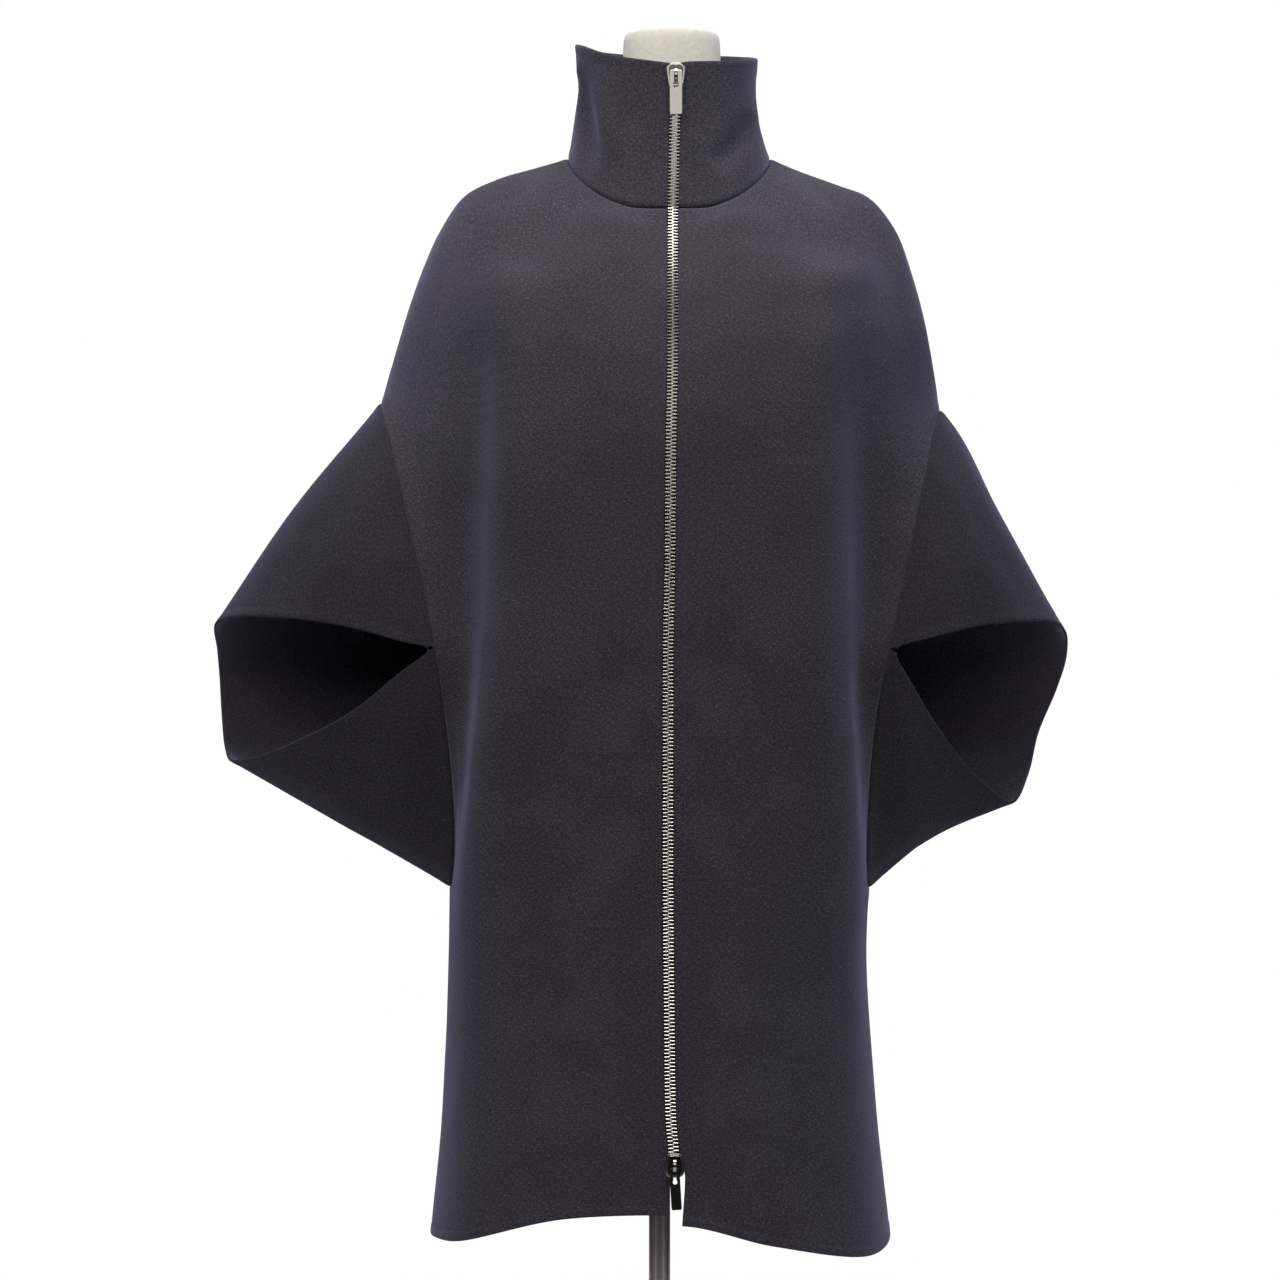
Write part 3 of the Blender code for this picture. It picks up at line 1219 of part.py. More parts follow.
def build_stand(collection, metal):
    """The pole under the form and the heavy round base it stands in."""
    edge = 0.002
    top = BASE_THICK + HUB_HEIGHT
    base = [(0.0, top), (HUB_RADIUS - edge, top), (HUB_RADIUS, top - edge), (HUB_RADIUS, BASE_THICK + 0.004),
            (HUB_RADIUS + 0.004, BASE_THICK), (BASE_RADIUS - edge, BASE_THICK),
            (BASE_RADIUS, BASE_THICK - edge), (BASE_RADIUS, edge), (BASE_RADIUS - edge, 0.0), (0.0, 0.0)]
    turned("stand_base", base, ROUND_SIDES, metal, collection)
    high = FORM_LOWER[0].height - SEAM_GAP
    low = top + SEAM_GAP
    pole = [(0.0, high), (POLE_RADIUS, high), (POLE_RADIUS, low), (0.0, low)]
    turned("stand_pole", pole, POLE_SIDES, metal, collection)


def clear_scene():
    for item in list(bpy.data.objects):
        bpy.data.objects.remove(item, do_unlink=True)


def new_collection(name):
    collection = bpy.data.collections.new(name)
    bpy.context.scene.collection.children.link(collection)
    return collection


def main():
    clear_scene()
    collection = new_collection(COLLECTION)
    cutters = new_collection(CUTTERS)
    wool = make_material("wool", (0.052, 0.047, 0.058), 0.92)
    tape = make_material("zip_tape", (0.012, 0.011, 0.013), 0.85)
    metal = make_material("zip_metal", (0.72, 0.70, 0.64), 0.28, 1.0)
    jersey = make_material("form_jersey", (0.68, 0.63, 0.55), 0.80)
    steel = make_material("stand_steel", (0.16, 0.15, 0.15), 0.22, 1.0)
    front_grids, normals, collar, collar_normals = build_cloth(collection, wool)
    facets = {side: facet_rows(side, front_grids[side], normals[side], collar, collar_normals)
              for side in SIGN}
    track = zip_track(facets["right"])
    build_zip(collection, facets, track, metal, tape)
    build_sliders(collection, cutters, track, metal)
    build_form(collection, jersey)
    build_stand(collection, steel)


main()
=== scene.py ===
# %% [markdown]
# # A wool cape on a dress form
#
# The real object is a dark grey-violet cape coat of thick double-faced wool. It has a tall funnel
# collar, wide wing sleeves that are slit in front for the arms, and a two-way metal zip. It stands
# on a limbless dress form with a metal pole. The plain solids of every piece are packed already.
# This script loads them as a fixed frame and builds the fine, visible pieces in the same places.

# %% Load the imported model
import json
import math
from collections import namedtuple

import bmesh
import bpy
import numpy as np
from mathutils import Matrix, Vector

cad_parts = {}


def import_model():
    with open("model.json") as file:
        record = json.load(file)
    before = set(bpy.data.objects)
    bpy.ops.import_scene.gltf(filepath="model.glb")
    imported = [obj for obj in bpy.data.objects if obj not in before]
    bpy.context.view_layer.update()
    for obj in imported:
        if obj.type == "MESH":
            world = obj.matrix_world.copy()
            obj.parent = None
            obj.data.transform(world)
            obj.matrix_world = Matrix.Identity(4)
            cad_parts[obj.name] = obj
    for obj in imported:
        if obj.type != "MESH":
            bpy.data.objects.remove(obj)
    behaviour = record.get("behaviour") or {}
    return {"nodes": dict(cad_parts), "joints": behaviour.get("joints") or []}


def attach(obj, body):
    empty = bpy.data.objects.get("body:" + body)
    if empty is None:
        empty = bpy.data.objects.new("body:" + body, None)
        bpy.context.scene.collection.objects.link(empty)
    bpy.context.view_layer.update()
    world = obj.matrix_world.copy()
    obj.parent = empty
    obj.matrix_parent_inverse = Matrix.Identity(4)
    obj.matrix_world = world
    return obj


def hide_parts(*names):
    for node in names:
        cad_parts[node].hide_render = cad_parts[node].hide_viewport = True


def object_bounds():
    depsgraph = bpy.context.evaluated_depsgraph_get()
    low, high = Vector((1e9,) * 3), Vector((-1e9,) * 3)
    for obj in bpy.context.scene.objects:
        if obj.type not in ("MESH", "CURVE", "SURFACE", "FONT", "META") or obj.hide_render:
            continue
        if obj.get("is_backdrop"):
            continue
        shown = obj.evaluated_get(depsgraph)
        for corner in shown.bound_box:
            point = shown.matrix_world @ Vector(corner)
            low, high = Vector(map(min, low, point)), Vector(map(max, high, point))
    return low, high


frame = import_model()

ROOT = "cape_and_form"
cad_box = [list(corner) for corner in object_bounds()]
print("CAD box in metres:", [[round(value, 4) for value in corner] for corner in cad_box])

# %% [markdown]
# ## Camera
#
# The photo was taken from straight ahead with a long lens, at the height of the sleeves. A lens of
# 84 mm on a 36 mm sensor, 2.7 m away, gives the same view, with no shift and no depth of field. The
# plain "Standard" view keeps the studio's white white, as in a shop's photo.

# %% The photo's camera
CAMERA_PLACE = (-0.0176, -2.7, 0.9645)
PHOTO_PIXELS = 1280
FOCAL_PIXELS = 3000.0

camera_data = bpy.data.cameras.new("photo_camera")
camera_data.sensor_width = 36.0
camera_data.lens = 36.0 * FOCAL_PIXELS / PHOTO_PIXELS
camera_data.dof.use_dof = False
camera = bpy.data.objects.new("photo_camera", camera_data)
camera.location = CAMERA_PLACE
camera.rotation_euler = (math.radians(90), 0.0, 0.0)
bpy.context.scene.collection.objects.link(camera)
bpy.context.scene.camera = camera
bpy.context.scene.view_settings.view_transform = "Standard"
print("lens", round(camera_data.lens, 1), "mm")

# %% [markdown]
# ## Light and floor
#
# The wool is almost black, so its shape shows only in how it catches the light. A soft box hangs high
# over the front, so the shoulders are bright and the light fades towards the hem. Warm boxes at both
# front corners and cooler ones at both sides catch the folds, a weak one near the camera fills the
# middle, and one behind shows the back when the cape is turned. The world looks white to the camera,
# but gives hardly any light, so the metal has something dark to mirror.

# %% Soft studio lights, a white world and a pale floor
COOL = (0.76, 0.84, 1.0)
WARM = (1.0, 0.98, 0.96)
AIM = Vector((0.0, 0.0, 1.15))
BOX_SIZE = (1.0, 1.2)


def add_light(name, place, power, colour):
    """A soft box at a place, turned towards the middle of the cape."""
    data = bpy.data.lights.new(name, "AREA")
    data.shape = "RECTANGLE"
    data.size, data.size_y = BOX_SIZE
    data.energy = power
    data.color = colour
    light = bpy.data.objects.new(name, data)
    light.location = place
    light.rotation_euler = (AIM - Vector(place)).to_track_quat("-Z", "Y").to_euler()
    bpy.context.scene.collection.objects.link(light)


add_light("left_front_box", (-1.5, -1.4, 2.4), 11.5, WARM)
add_light("left_high_box", (-1.8, -0.2, 2.3), 8.0, COOL)
add_light("right_front_box", (1.5, -1.4, 2.4), 4.5, WARM)
add_light("right_high_box", (1.8, -0.2, 2.3), 13.0, COOL)
add_light("top_box", (0.0, -0.5, 3.0), 38.0, WARM)
add_light("front_box", (0.0, -2.5, 1.95), 6.0, WARM)
add_light("back_box", (0.3, 2.5, 2.0), 26.0, WARM)

world = bpy.data.worlds.new("white_world")
bpy.context.scene.world = world
world.use_nodes = True
nodes, links = world.node_tree.nodes, world.node_tree.links
nodes.clear()
seen = nodes.new("ShaderNodeBackground")
seen.inputs["Color"].default_value = (1.0, 1.0, 1.0, 1.0)
seen.inputs["Strength"].default_value = 1.0
lighting = nodes.new("ShaderNodeBackground")
lighting.inputs["Color"].default_value = (0.97, 0.98, 1.0, 1.0)
lighting.inputs["Strength"].default_value = 0.03
ray = nodes.new("ShaderNodeLightPath")
choose = nodes.new("ShaderNodeMixShader")
output = nodes.new("ShaderNodeOutputWorld")
links.new(ray.outputs["Is Camera Ray"], choose.inputs["Fac"])
links.new(lighting.outputs["Background"], choose.inputs[1])
links.new(seen.outputs["Background"], choose.inputs[2])
links.new(choose.outputs["Shader"], output.inputs["Surface"])

FLOOR_HALF = 1.58
FLOOR_DROP = 0.0005
floor_mesh = bpy.data.meshes.new("floor")
floor_body = bmesh.new()
bmesh.ops.create_grid(floor_body, x_segments=2, y_segments=2, size=FLOOR_HALF)
floor_body.to_mesh(floor_mesh)
floor_body.free()
floor = bpy.data.objects.new("floor", floor_mesh)
floor.location = (0.0, 0.0, -FLOOR_DROP)
bpy.context.scene.collection.objects.link(floor)
floor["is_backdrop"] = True
print("lights:", [item.name for item in bpy.data.objects if item.type == "LIGHT"])

# %% [markdown]
# ## Materials
#
# Each finish is a small network of nodes. A helper adds a node and sets its values by name, so that
# each network below reads like a list. Numbers that are the same all over a piece are set on the
# shader itself, and only colour, roughness and bump come from textures.

# %% Helpers for node networks
def new_material(name, **sockets):
    """A material with a Principled shader, and its node tree ready to use."""
    material = bpy.data.materials.new(name)
    material.use_nodes = True
    shader = material.node_tree.nodes["Principled BSDF"]
    for socket, value in sockets.items():
        shader.inputs[socket.replace("_", " ")].default_value = value
    return material, material.node_tree, shader


def add_node(node_tree, kind, inputs=None, **values):
    """A node with its options set, and its inputs set or linked by their names."""
    node = node_tree.nodes.new("ShaderNode" + kind)
    for key, value in values.items():
        setattr(node, key, value)
    for key, value in (inputs or {}).items():
        if isinstance(value, bpy.types.NodeSocket):
            node_tree.links.new(value, node.inputs[key])
        else:
            node.inputs[key].default_value = value
    return node


def add_ramp(node_tree, factor, stops):
    """A colour ramp with a list of places and colours."""
    ramp = add_node(node_tree, "ValToRGB", {"Fac": factor})
    elements = ramp.color_ramp.elements
    while len(elements) < len(stops):
        elements.new(0.5)
    for element, (place, colour) in zip(elements, stops):
        element.position = place
        element.color = (*colour, 1.0)
    return ramp.outputs["Color"]


def add_bump(node_tree, shader, height, strength, distance):
    """A bump that only tilts the light on a surface."""
    bump = add_node(node_tree, "Bump", {"Height": height, "Strength": strength, "Distance": distance})
    node_tree.links.new(bump.outputs["Normal"], shader.inputs["Normal"])


def stretched_noise(node_tree, place, stretch, detail=2.0):
    """Noise drawn out along one direction of the cloth, like brushed fibres."""
    mapping = add_node(node_tree, "Mapping", {"Vector": place, "Scale": stretch})
    noise = add_node(node_tree, "TexNoise", {"Vector": mapping.outputs["Vector"], "Scale": 1.0,
                                             "Detail": detail, "Roughness": 0.6})
    return noise.outputs["Fac"]


print("helpers ready")

# %% [markdown]
# ### Brushed melange wool
#
# The yarn is spun from dark and pale fibres, so the cloth is speckled from close by and an even
# grey-violet from afar. Two noises, drawn out along the warp and the weft, make the fibres. They
# read the cloth's own UV map, which is in metres, so the grain runs along each cut piece and has its
# real size. Sheen gives the pale nap that shows where the cloth turns away. The sleeves look darker
# than the fronts, so they get a darker copy of the wool, which is painted shade, and the inner face
# gets a paler copy, which is painted light.

# %% The wool
FLECK_SHARE = 0.42
WOOL_TONES = ((0.25, (0.0180, 0.0156, 0.0222)), (0.45, (0.0402, 0.0358, 0.0450)),
              (0.62, (0.0950, 0.0875, 0.1050)))


def wool_finish(name, painted_light_scale):
    """Grey melange wool. A scale below 1 paints shade into its colour and sheen, one above 1 paints light.
    """
    material, tree, shader = new_material(name, Roughness=0.92, Specular_IOR_Level=0.16,
                                          Sheen_Weight=0.38 * painted_light_scale, Sheen_Roughness=0.45,
                                          Sheen_Tint=(0.66, 0.62, 0.98, 1.0))
    grain = add_node(tree, "UVMap", uv_map="cloth").outputs["UV"]
    warp = stretched_noise(tree, grain, (1500.0, 330.0, 1.0))
    weft = stretched_noise(tree, grain, (300.0, 1300.0, 1.0))
    fleck = add_node(tree, "TexNoise", {"Vector": grain, "Scale": 620.0, "Detail": 3.0,
                                        "Roughness": 0.65})
    broad = add_node(tree, "TexNoise", {"Vector": grain, "Scale": 16.0, "Detail": 2.0,
                                        "Roughness": 0.5})
    fibres = add_node(tree, "Math", {0: warp, 1: weft}, operation="MULTIPLY").outputs["Value"]
    mixed = add_node(tree, "Math", {0: fleck.outputs["Fac"], 1: FLECK_SHARE, 2: fibres},
                     operation="MULTIPLY_ADD")
    colour = add_ramp(tree, mixed.outputs["Value"], WOOL_TONES)
    # Random broad tone, scaled by the painted light: darker on the sleeves, paler on the inner face.
    shade = add_node(tree, "MapRange", {"Value": broad.outputs["Fac"], "From Min": 0.3, "From Max": 0.7,
                                        "To Min": 0.90 * painted_light_scale, "To Max": 1.10 * painted_light_scale})
    tone_with_painted_light = add_node(tree, "VectorMath", {0: colour, "Scale": shade.outputs["Result"]}, operation="SCALE")
    tree.links.new(tone_with_painted_light.outputs["Vector"], shader.inputs["Base Color"])
    add_bump(tree, shader, mixed.outputs["Value"], 0.55, 0.0006)
    return material


wool = wool_finish("wool_melange", 1.0)
# The sleeves get a darker copy of the wool: painted shade.
sleeve_wool_painted_shade = wool_finish("wool_melange_sleeves_painted_shade", 0.68)
# The inner face gets a paler copy of the wool: painted light.
inner_wool_painted_light = wool_finish("wool_melange_inner_face_painted_light", 1.45)
print("wool:", len(wool.node_tree.nodes), "nodes")

# %% [markdown]
# ### Metal, tape, thread, jersey and floor
#
# The zip is polished nickel with fine scratches. The sliders are the smoothest. Their sunk face and
# the lower pull are painted dark, a painted reflection of the dark cloth that they mirror. The pole
# is chrome with a violet cast, drawn out in long streaks. The form is covered in cream jersey, whose
# tiny knitted ribs are a wave texture. The zip's tape is black with a fine diagonal rib, and the
# thread is a shade lighter than the wool.

# %% The other finishes
ZIP_SCRATCH = (900.0, 900.0, 240.0)
POLE_STREAK = (420.0, 420.0, 3.0)


def metal_finish(name, colour, roughness, scratch=ZIP_SCRATCH):
    """Polished metal whose roughness varies in fine scratches."""
    material, tree, shader = new_material(name, Metallic=1.0)
    place = add_node(tree, "TexCoord").outputs["Object"]
    noise = stretched_noise(tree, place, scratch, 4.0)
    tone = add_ramp(tree, noise, [(0.3, tuple(value * 0.86 for value in colour)), (0.7, colour)])
    tree.links.new(tone, shader.inputs["Base Color"])
    rough = add_node(tree, "MapRange", {"Value": noise, "To Min": roughness * 0.7,
                                        "To Max": roughness * 1.4})
    tree.links.new(rough.outputs["Result"], shader.inputs["Roughness"])
    return material


def woven_finish(name, dark, light, roughness, scale, rows, **sockets):
    """Cloth or knit with fine crossing ribs, on the object's own coordinates."""
    material, tree, shader = new_material(name, Roughness=roughness, **sockets)
    place = add_node(tree, "TexCoord").outputs["Object"]
    ribs = add_node(tree, "TexWave", {"Vector": place, "Scale": scale, "Distortion": 1.5, "Detail": 1.0,
                                      "Detail Scale": 2.0}, bands_direction=rows)
    noise = add_node(tree, "TexNoise", {"Vector": place, "Scale": scale * 0.8, "Detail": 2.0})
    blend = add_node(tree, "Math", {0: ribs.outputs["Fac"], 1: 0.5, 2: noise.outputs["Fac"]},
                     operation="MULTIPLY_ADD")
    tone = add_ramp(tree, blend.outputs["Value"], [(0.35, dark), (0.95, light)])
    tree.links.new(tone, shader.inputs["Base Color"])
    add_bump(tree, shader, blend.outputs["Value"], 0.35, 0.0003)
    return material


nickel = metal_finish("zip_nickel", (0.52, 0.50, 0.46), 0.26)
pull_nickel = metal_finish("pull_nickel", (0.52, 0.50, 0.45), 0.30)
slider_nickel = metal_finish("slider_nickel", (0.46, 0.44, 0.40), 0.18)
# Nickel painted dark: a painted reflection of the dark cloth, for the sliders' sunk face and the lower pull.
painted_dark_nickel = metal_finish("nickel_painted_reflection", (0.105, 0.095, 0.090), 0.22)
pole_chrome = metal_finish("pole_chrome", (0.62, 0.53, 0.56), 0.20, POLE_STREAK)
tape_cloth = woven_finish("zip_tape_weave", (0.006, 0.0055, 0.007), (0.020, 0.018, 0.022), 0.85,
                          420.0, "DIAGONAL")
thread = woven_finish("sewing_thread", (0.028, 0.026, 0.032), (0.070, 0.065, 0.078), 0.7, 700.0, "Z")
jersey = woven_finish("form_jersey_knit", (0.707, 0.66, 0.568), (0.874, 0.832, 0.738), 0.85, 300.0, "Z",
                      Sheen_Weight=0.15, Sheen_Roughness=0.5)
floor_white, floor_tree, floor_shader = new_material("floor_white", Roughness=0.9)
floor_place = add_node(floor_tree, "TexCoord").outputs["Object"]
grey = add_node(floor_tree, "TexNoise", {"Vector": floor_place, "Scale": 3.0})
tone = add_ramp(floor_tree, grey.outputs["Fac"], [(0.3, (0.86, 0.86, 0.86)), (0.7, (0.88, 0.88, 0.88))])
floor_tree.links.new(tone, floor_shader.inputs["Base Color"])
floor_mesh.materials.append(floor_white)
print("finishes:", sorted(item.name for item in bpy.data.materials if item.users))

# %% [markdown]
# ## The shape of the cape
#
# A cape hangs in long smooth curves, so it needs few measurements: where each seam runs, where the
# cloth folds forward, and where it hollows beside the armhole. They are kept in short tables, in
# metres, and a smooth curve through them gives the cloth between. The solids were drawn from the same
# tables, so the fine cloth lies on them. Only the join below each shoulder is smoother here, and some
# creases are deeper. "Out" is the distance from the pole to that side, and the wearer's right side
# is -X.

# %% Thickness of the cloth, half of the gap at a seam, and the side signs
WALL = 0.0026
HALF_GAP = 0.00006
SIGN = {"right": -1.0, "left": 1.0}

print("cloth", WALL * 1000, "mm thick")

# %% [markdown]
# ### Smooth curves through few points
#
# Two kinds of curve are enough. "pchip" reads a value from a table without overshooting it, and
# "Path" runs through points in space and can be walked by distance or by row number.

# %% Curves
def unit(vector):
    """The vector at length 1."""
    return vector / np.linalg.norm(vector)


def mix(start, end, share):
    """A value between start (share 0) and end (share 1)."""
    return start + (end - start) * share


def walked_along(points):
    """Distance walked along a row of points, at each of them."""
    return np.concatenate([[0.0], np.cumsum(np.linalg.norm(np.diff(points, axis=0), axis=1))])


def hermite(start, end, start_slope, end_slope, t):
    """Cubic from one point to the next that leaves and arrives along the given slopes."""
    return (start * (2 * t**3 - 3 * t**2 + 1) + end * (3 * t**2 - 2 * t**3)
            + start_slope * (t**3 - 2 * t**2 + t) + end_slope * (t**3 - t**2))


def pchip(keys, values, at):
    """Monotone cubic through a short table, flat at its turning points, held at its ends."""
    at = min(max(at, keys[0]), keys[-1])
    gaps = [b - a for a, b in zip(keys, keys[1:])]
    slopes = [(b - a) / gap for a, b, gap in zip(values, values[1:], gaps)]

    def tangent(index):
        if index in (0, len(slopes)):
            return slopes[min(index, len(slopes) - 1)]
        before, after = slopes[index - 1], slopes[index]
        return 0.0 if before * after <= 0 else 2 * before * after / (before + after)

    index = max(i for i in range(len(gaps)) if keys[i] <= at)
    gap = gaps[index]
    t = (at - keys[index]) / gap
    return hermite(values[index], values[index + 1], tangent(index) * gap, tangent(index + 1) * gap, t)


def named(kind, *rows):
    """A table whose rows have named columns."""
    return tuple(kind(*row) for row in rows)


def read_table(table, height, *names):
    """Values of the named columns of a table at a height."""
    rows = sorted(table, key=lambda row: row.height)
    keys = [row.height for row in rows]
    return [pchip(keys, [getattr(row, name) for row in rows], height) for name in names]


class Path:
    """Smooth curve through points, walked by the distance along their chords."""

    def __init__(self, points, first=None, last=None):
        self.points = np.array(points, float)
        steps = np.diff(self.points, axis=0)
        self.gaps = np.linalg.norm(steps, axis=1)
        self.knots = np.concatenate([[0.0], np.cumsum(self.gaps)])
        slopes = steps / self.gaps[:, None]
        self.tangents = np.empty_like(self.points)
        before, after = self.gaps[:-1, None], self.gaps[1:, None]
        self.tangents[1:-1] = (slopes[:-1] * after + slopes[1:] * before) / (before + after)
        self.tangents[0] = slopes[0] if first is None else first
        self.tangents[-1] = slopes[-1] if last is None else last

    def span(self, index, t):
        """Point at a share of one of the gaps between the given points."""
        gap = self.gaps[index]
        return hermite(self.points[index], self.points[index + 1],
                       self.tangents[index] * gap, self.tangents[index + 1] * gap, t)

    def at(self, distance):
        """Point at a distance along the chords."""
        index = min(max(int(np.searchsorted(self.knots, distance)) - 1, 0), len(self.gaps) - 1)
        return self.span(index, (distance - self.knots[index]) / self.gaps[index])

    def row(self, number):
        """Point at a fractional row number, 0 for the first point."""
        index = min(int(number), len(self.gaps) - 1)
        return self.span(index, number - index)


def world(side, out, y, height):
    """A point of one side, from its distance out from the pole."""
    return np.array([SIGN[side] * out, y, height])


print("curve test:", round(pchip((0, 1, 2), (0.0, 1.0, 1.5), 1.5), 4))

# %% [markdown]
# ### Neckline and centre front
#
# The neckline seam is an oval that sits lower in front. The zip runs down the centre front, over the
# chest and straight down to just above the hem, a little to one side where the cloth has slipped.

# %% Neckline and zip line
NECK_X = 0.0085
NECK_Y = -0.008
NECK_HALF_WIDTH = 0.0905
NECK_FRONT = 0.082
NECK_BACK = 0.083
NECK_ANGLES = (0, 19, 34, 53, 78, 92, 130, 180)
NECK_HEIGHTS = (1.340, 1.3417, 1.3490, 1.3640, 1.3860, 1.3960, 1.4040, 1.4060)
SHOULDER_POINT = 92.0
FRONT_NECK_STOPS = (0, 27, 52, 73, SHOULDER_POINT)
BACK_NECK_STOPS = (SHOULDER_POINT, 108, 128, 156, 180)
ZIP_HALF = 0.0048
CentreFront = namedtuple("CentreFront", "height zip_x y right_half left_half", defaults=(ZIP_HALF, ZIP_HALF))
CENTRE_FRONT = named(
    CentreFront,
    (1.340, 0.0110, -0.0900),
    (1.322, 0.0108, -0.0985),
    (1.300, 0.0107, -0.1090),
    (1.270, 0.0106, -0.1220),
    (1.235, 0.0104, -0.1340),
    (1.190, 0.0100, -0.1440),
    (1.140, 0.0089, -0.1495),
    (1.030, 0.0078, -0.1510),
    (0.940, 0.0062, -0.1510),
    (0.780, 0.0062, -0.1500),
    (0.650, 0.0072, -0.1490),
    (0.560, 0.0085, -0.1490),
    (0.528, 0.0112, -0.1500),
    (0.510, 0.0122, -0.1505, 0.0050, 0.0085),
    (0.466, 0.0122, -0.1510, 0.0046, 0.0060),
)
HEM_CENTRE = {"right": 0.4755, "left": 0.4665}
HEM_MIDDLE = {"right": 0.4700, "left": 0.4470}
HEM_RIDGE = {"right": 0.4430, "left": 0.4300}
HEM_VALLEY = {"right": 0.4380, "left": 0.4300}


def neck_point(angle, side):
    """Point of the neckline seam at an angle from its front middle."""
    turn = math.radians(angle)
    depth = NECK_FRONT if angle < 90 else NECK_BACK
    return np.array([NECK_X + SIGN[side] * NECK_HALF_WIDTH * math.sin(turn),
                     NECK_Y - depth * math.cos(turn),
                     pchip(NECK_ANGLES, NECK_HEIGHTS, angle)])


def zip_point(height):
    """Point on the line of the zip, on the cloth's outer face."""
    zip_x, y = read_table(CENTRE_FRONT, height, "zip_x", "y")
    return np.array([zip_x, y, height])


print("front length", round(NECK_HEIGHTS[0] - HEM_CENTRE["right"], 3), "m")

# %% [markdown]
# ### Shoulders, ridges and hollows of the fronts
#
# From the shoulder each front falls in a soft ridge, where it turns from facing forward to facing
# sideways. Behind the ridge lies a hollow, and then the seam. Seven rows shape the shoulder, and
# thirteen levels shape the rest down to the hem.

# %% Measurements of the fronts
ShoulderRow = namedtuple(
    "ShoulderRow", "centre_z ridge_out ridge_y ridge_z valley_out valley_y valley_z seam_out seam_y seam_z")
SHOULDER = {
    "right": named(
        ShoulderRow,
        (1.322, 0.080, -0.070, 1.343, 0.101, -0.038, 1.370, 0.114, 0.000, 1.3880),
        (1.303, 0.107, -0.075, 1.320, 0.134, -0.042, 1.351, 0.146, 0.001, 1.3790),
        (1.283, 0.137, -0.073, 1.301, 0.162, -0.040, 1.334, 0.1745, 0.003, 1.3650),
        (1.263, 0.143, -0.085, 1.281, 0.182, -0.043, 1.300, 0.1965, 0.005, 1.3350),
        (1.235, 0.1255, -0.110, 1.2416, 0.192, -0.052, 1.250, 0.2165, 0.008, 1.2910),
        (1.206, 0.1160, -0.123, 1.2085, 0.199, -0.057, 1.212, 0.2365, 0.010, 1.2295),
    ),
    "left": named(
        ShoulderRow,
        (1.322, 0.098, -0.070, 1.343, 0.119, -0.038, 1.368, 0.130, -0.004, 1.3835),
        (1.303, 0.126, -0.074, 1.321, 0.150, -0.042, 1.349, 0.160, -0.006, 1.3725),
        (1.285, 0.160, -0.066, 1.310, 0.176, -0.042, 1.334, 0.1865, -0.012, 1.3610),
        (1.265, 0.176, -0.077, 1.289, 0.194, -0.052, 1.300, 0.2075, -0.020, 1.3350),
        (1.237, 0.1554, -0.105, 1.2465, 0.203, -0.064, 1.255, 0.2260, -0.026, 1.2850),
        (1.204, 0.1475, -0.121, 1.2096, 0.209, -0.067, 1.212, 0.2405, -0.020, 1.2300),
    ),
}
FrontLevel = namedtuple("FrontLevel", "height ridge_out ridge_y valley_out valley_y")
FRONT_LEVELS = {
    "right": named(
        FrontLevel,
        (1.1787, 0.1215, -0.127, 0.203, -0.060),
        (1.148, 0.1320, -0.128, 0.202, -0.069),
        (1.085, 0.1378, -0.125, 0.193, -0.082),
        (1.033, 0.1405, -0.123, 0.184, -0.090),
        (0.965, 0.1510, -0.121, 0.174, -0.098),
        (0.913, 0.1574, -0.117, 0.1725, -0.094),
        (0.843, 0.1640, -0.107, 0.1735, -0.083),
        (0.799, 0.1680, -0.099, 0.1770, -0.072),
        (0.746, 0.1710, -0.092, 0.1835, -0.050),
        (0.690, 0.1700, -0.090, 0.186, -0.047),
        (0.600, 0.1710, -0.092, 0.188, -0.048),
        (0.500, 0.1750, -0.096, 0.194, -0.050),
        (0.434, 0.1790, -0.099, 0.200, -0.052),
    ),
    "left": named(
        FrontLevel,
        (1.1715, 0.1470, -0.125, 0.212, -0.064),
        (1.148, 0.1500, -0.125, 0.210, -0.070),
        (1.085, 0.1508, -0.122, 0.201, -0.082),
        (1.033, 0.1544, -0.120, 0.192, -0.089),
        (0.965, 0.1599, -0.118, 0.181, -0.098),
        (0.913, 0.1640, -0.112, 0.1775, -0.093),
        (0.863, 0.1680, -0.106, 0.1775, -0.085),
        (0.815, 0.1700, -0.100, 0.1785, -0.074),
        (0.746, 0.1700, -0.091, 0.1830, -0.050),
        (0.690, 0.1680, -0.090, 0.182, -0.047),
        (0.600, 0.1690, -0.092, 0.186, -0.048),
        (0.500, 0.1740, -0.096, 0.194, -0.050),
        (0.434, 0.1790, -0.099, 0.200, -0.052),
    ),
}
FLANK_SHARE = 0.5
FLANK_SLOPE = 0.20

print("levels:", {side: len(rows) for side, rows in FRONT_LEVELS.items()})

# %% [markdown]
# ### Armholes and side seams
#
# The armhole is long, from the upper arm down to the hip. In front the sleeve is slit up to one
# point of it, which is named by its place in the table.

# %% Measurements of the seams
Seam = namedtuple("Seam", "out y height")
FRONT_ARMHOLE = {
    "right": named(
        Seam,
        (0.2516, 0.010, 1.1787), (0.2480, -0.024, 1.1690), (0.2375, -0.052, 1.1360),
        (0.2219, -0.074, 1.0706), (0.2054, -0.086, 1.0029), (0.1968, -0.091, 0.9584),
        (0.1890, -0.082, 0.9026), (0.1825, -0.061, 0.8223), (0.1825, -0.043, 0.7850),
        (0.1850, -0.022, 0.7529), (0.1886, 0.000, 0.7422),
    ),
    "left": named(
        Seam,
        (0.2524, 0.000, 1.1715), (0.2480, -0.028, 1.1640), (0.2395, -0.052, 1.1360),
        (0.2270, -0.073, 1.0800), (0.2120, -0.085, 1.0100), (0.2001, -0.091, 0.9567),
        (0.1900, -0.082, 0.9026), (0.1840, -0.061, 0.8223), (0.1840, -0.042, 0.7820),
        (0.1855, -0.020, 0.7500), (0.1885, 0.000, 0.7413),
    ),
}
SLIT_STATION = 5
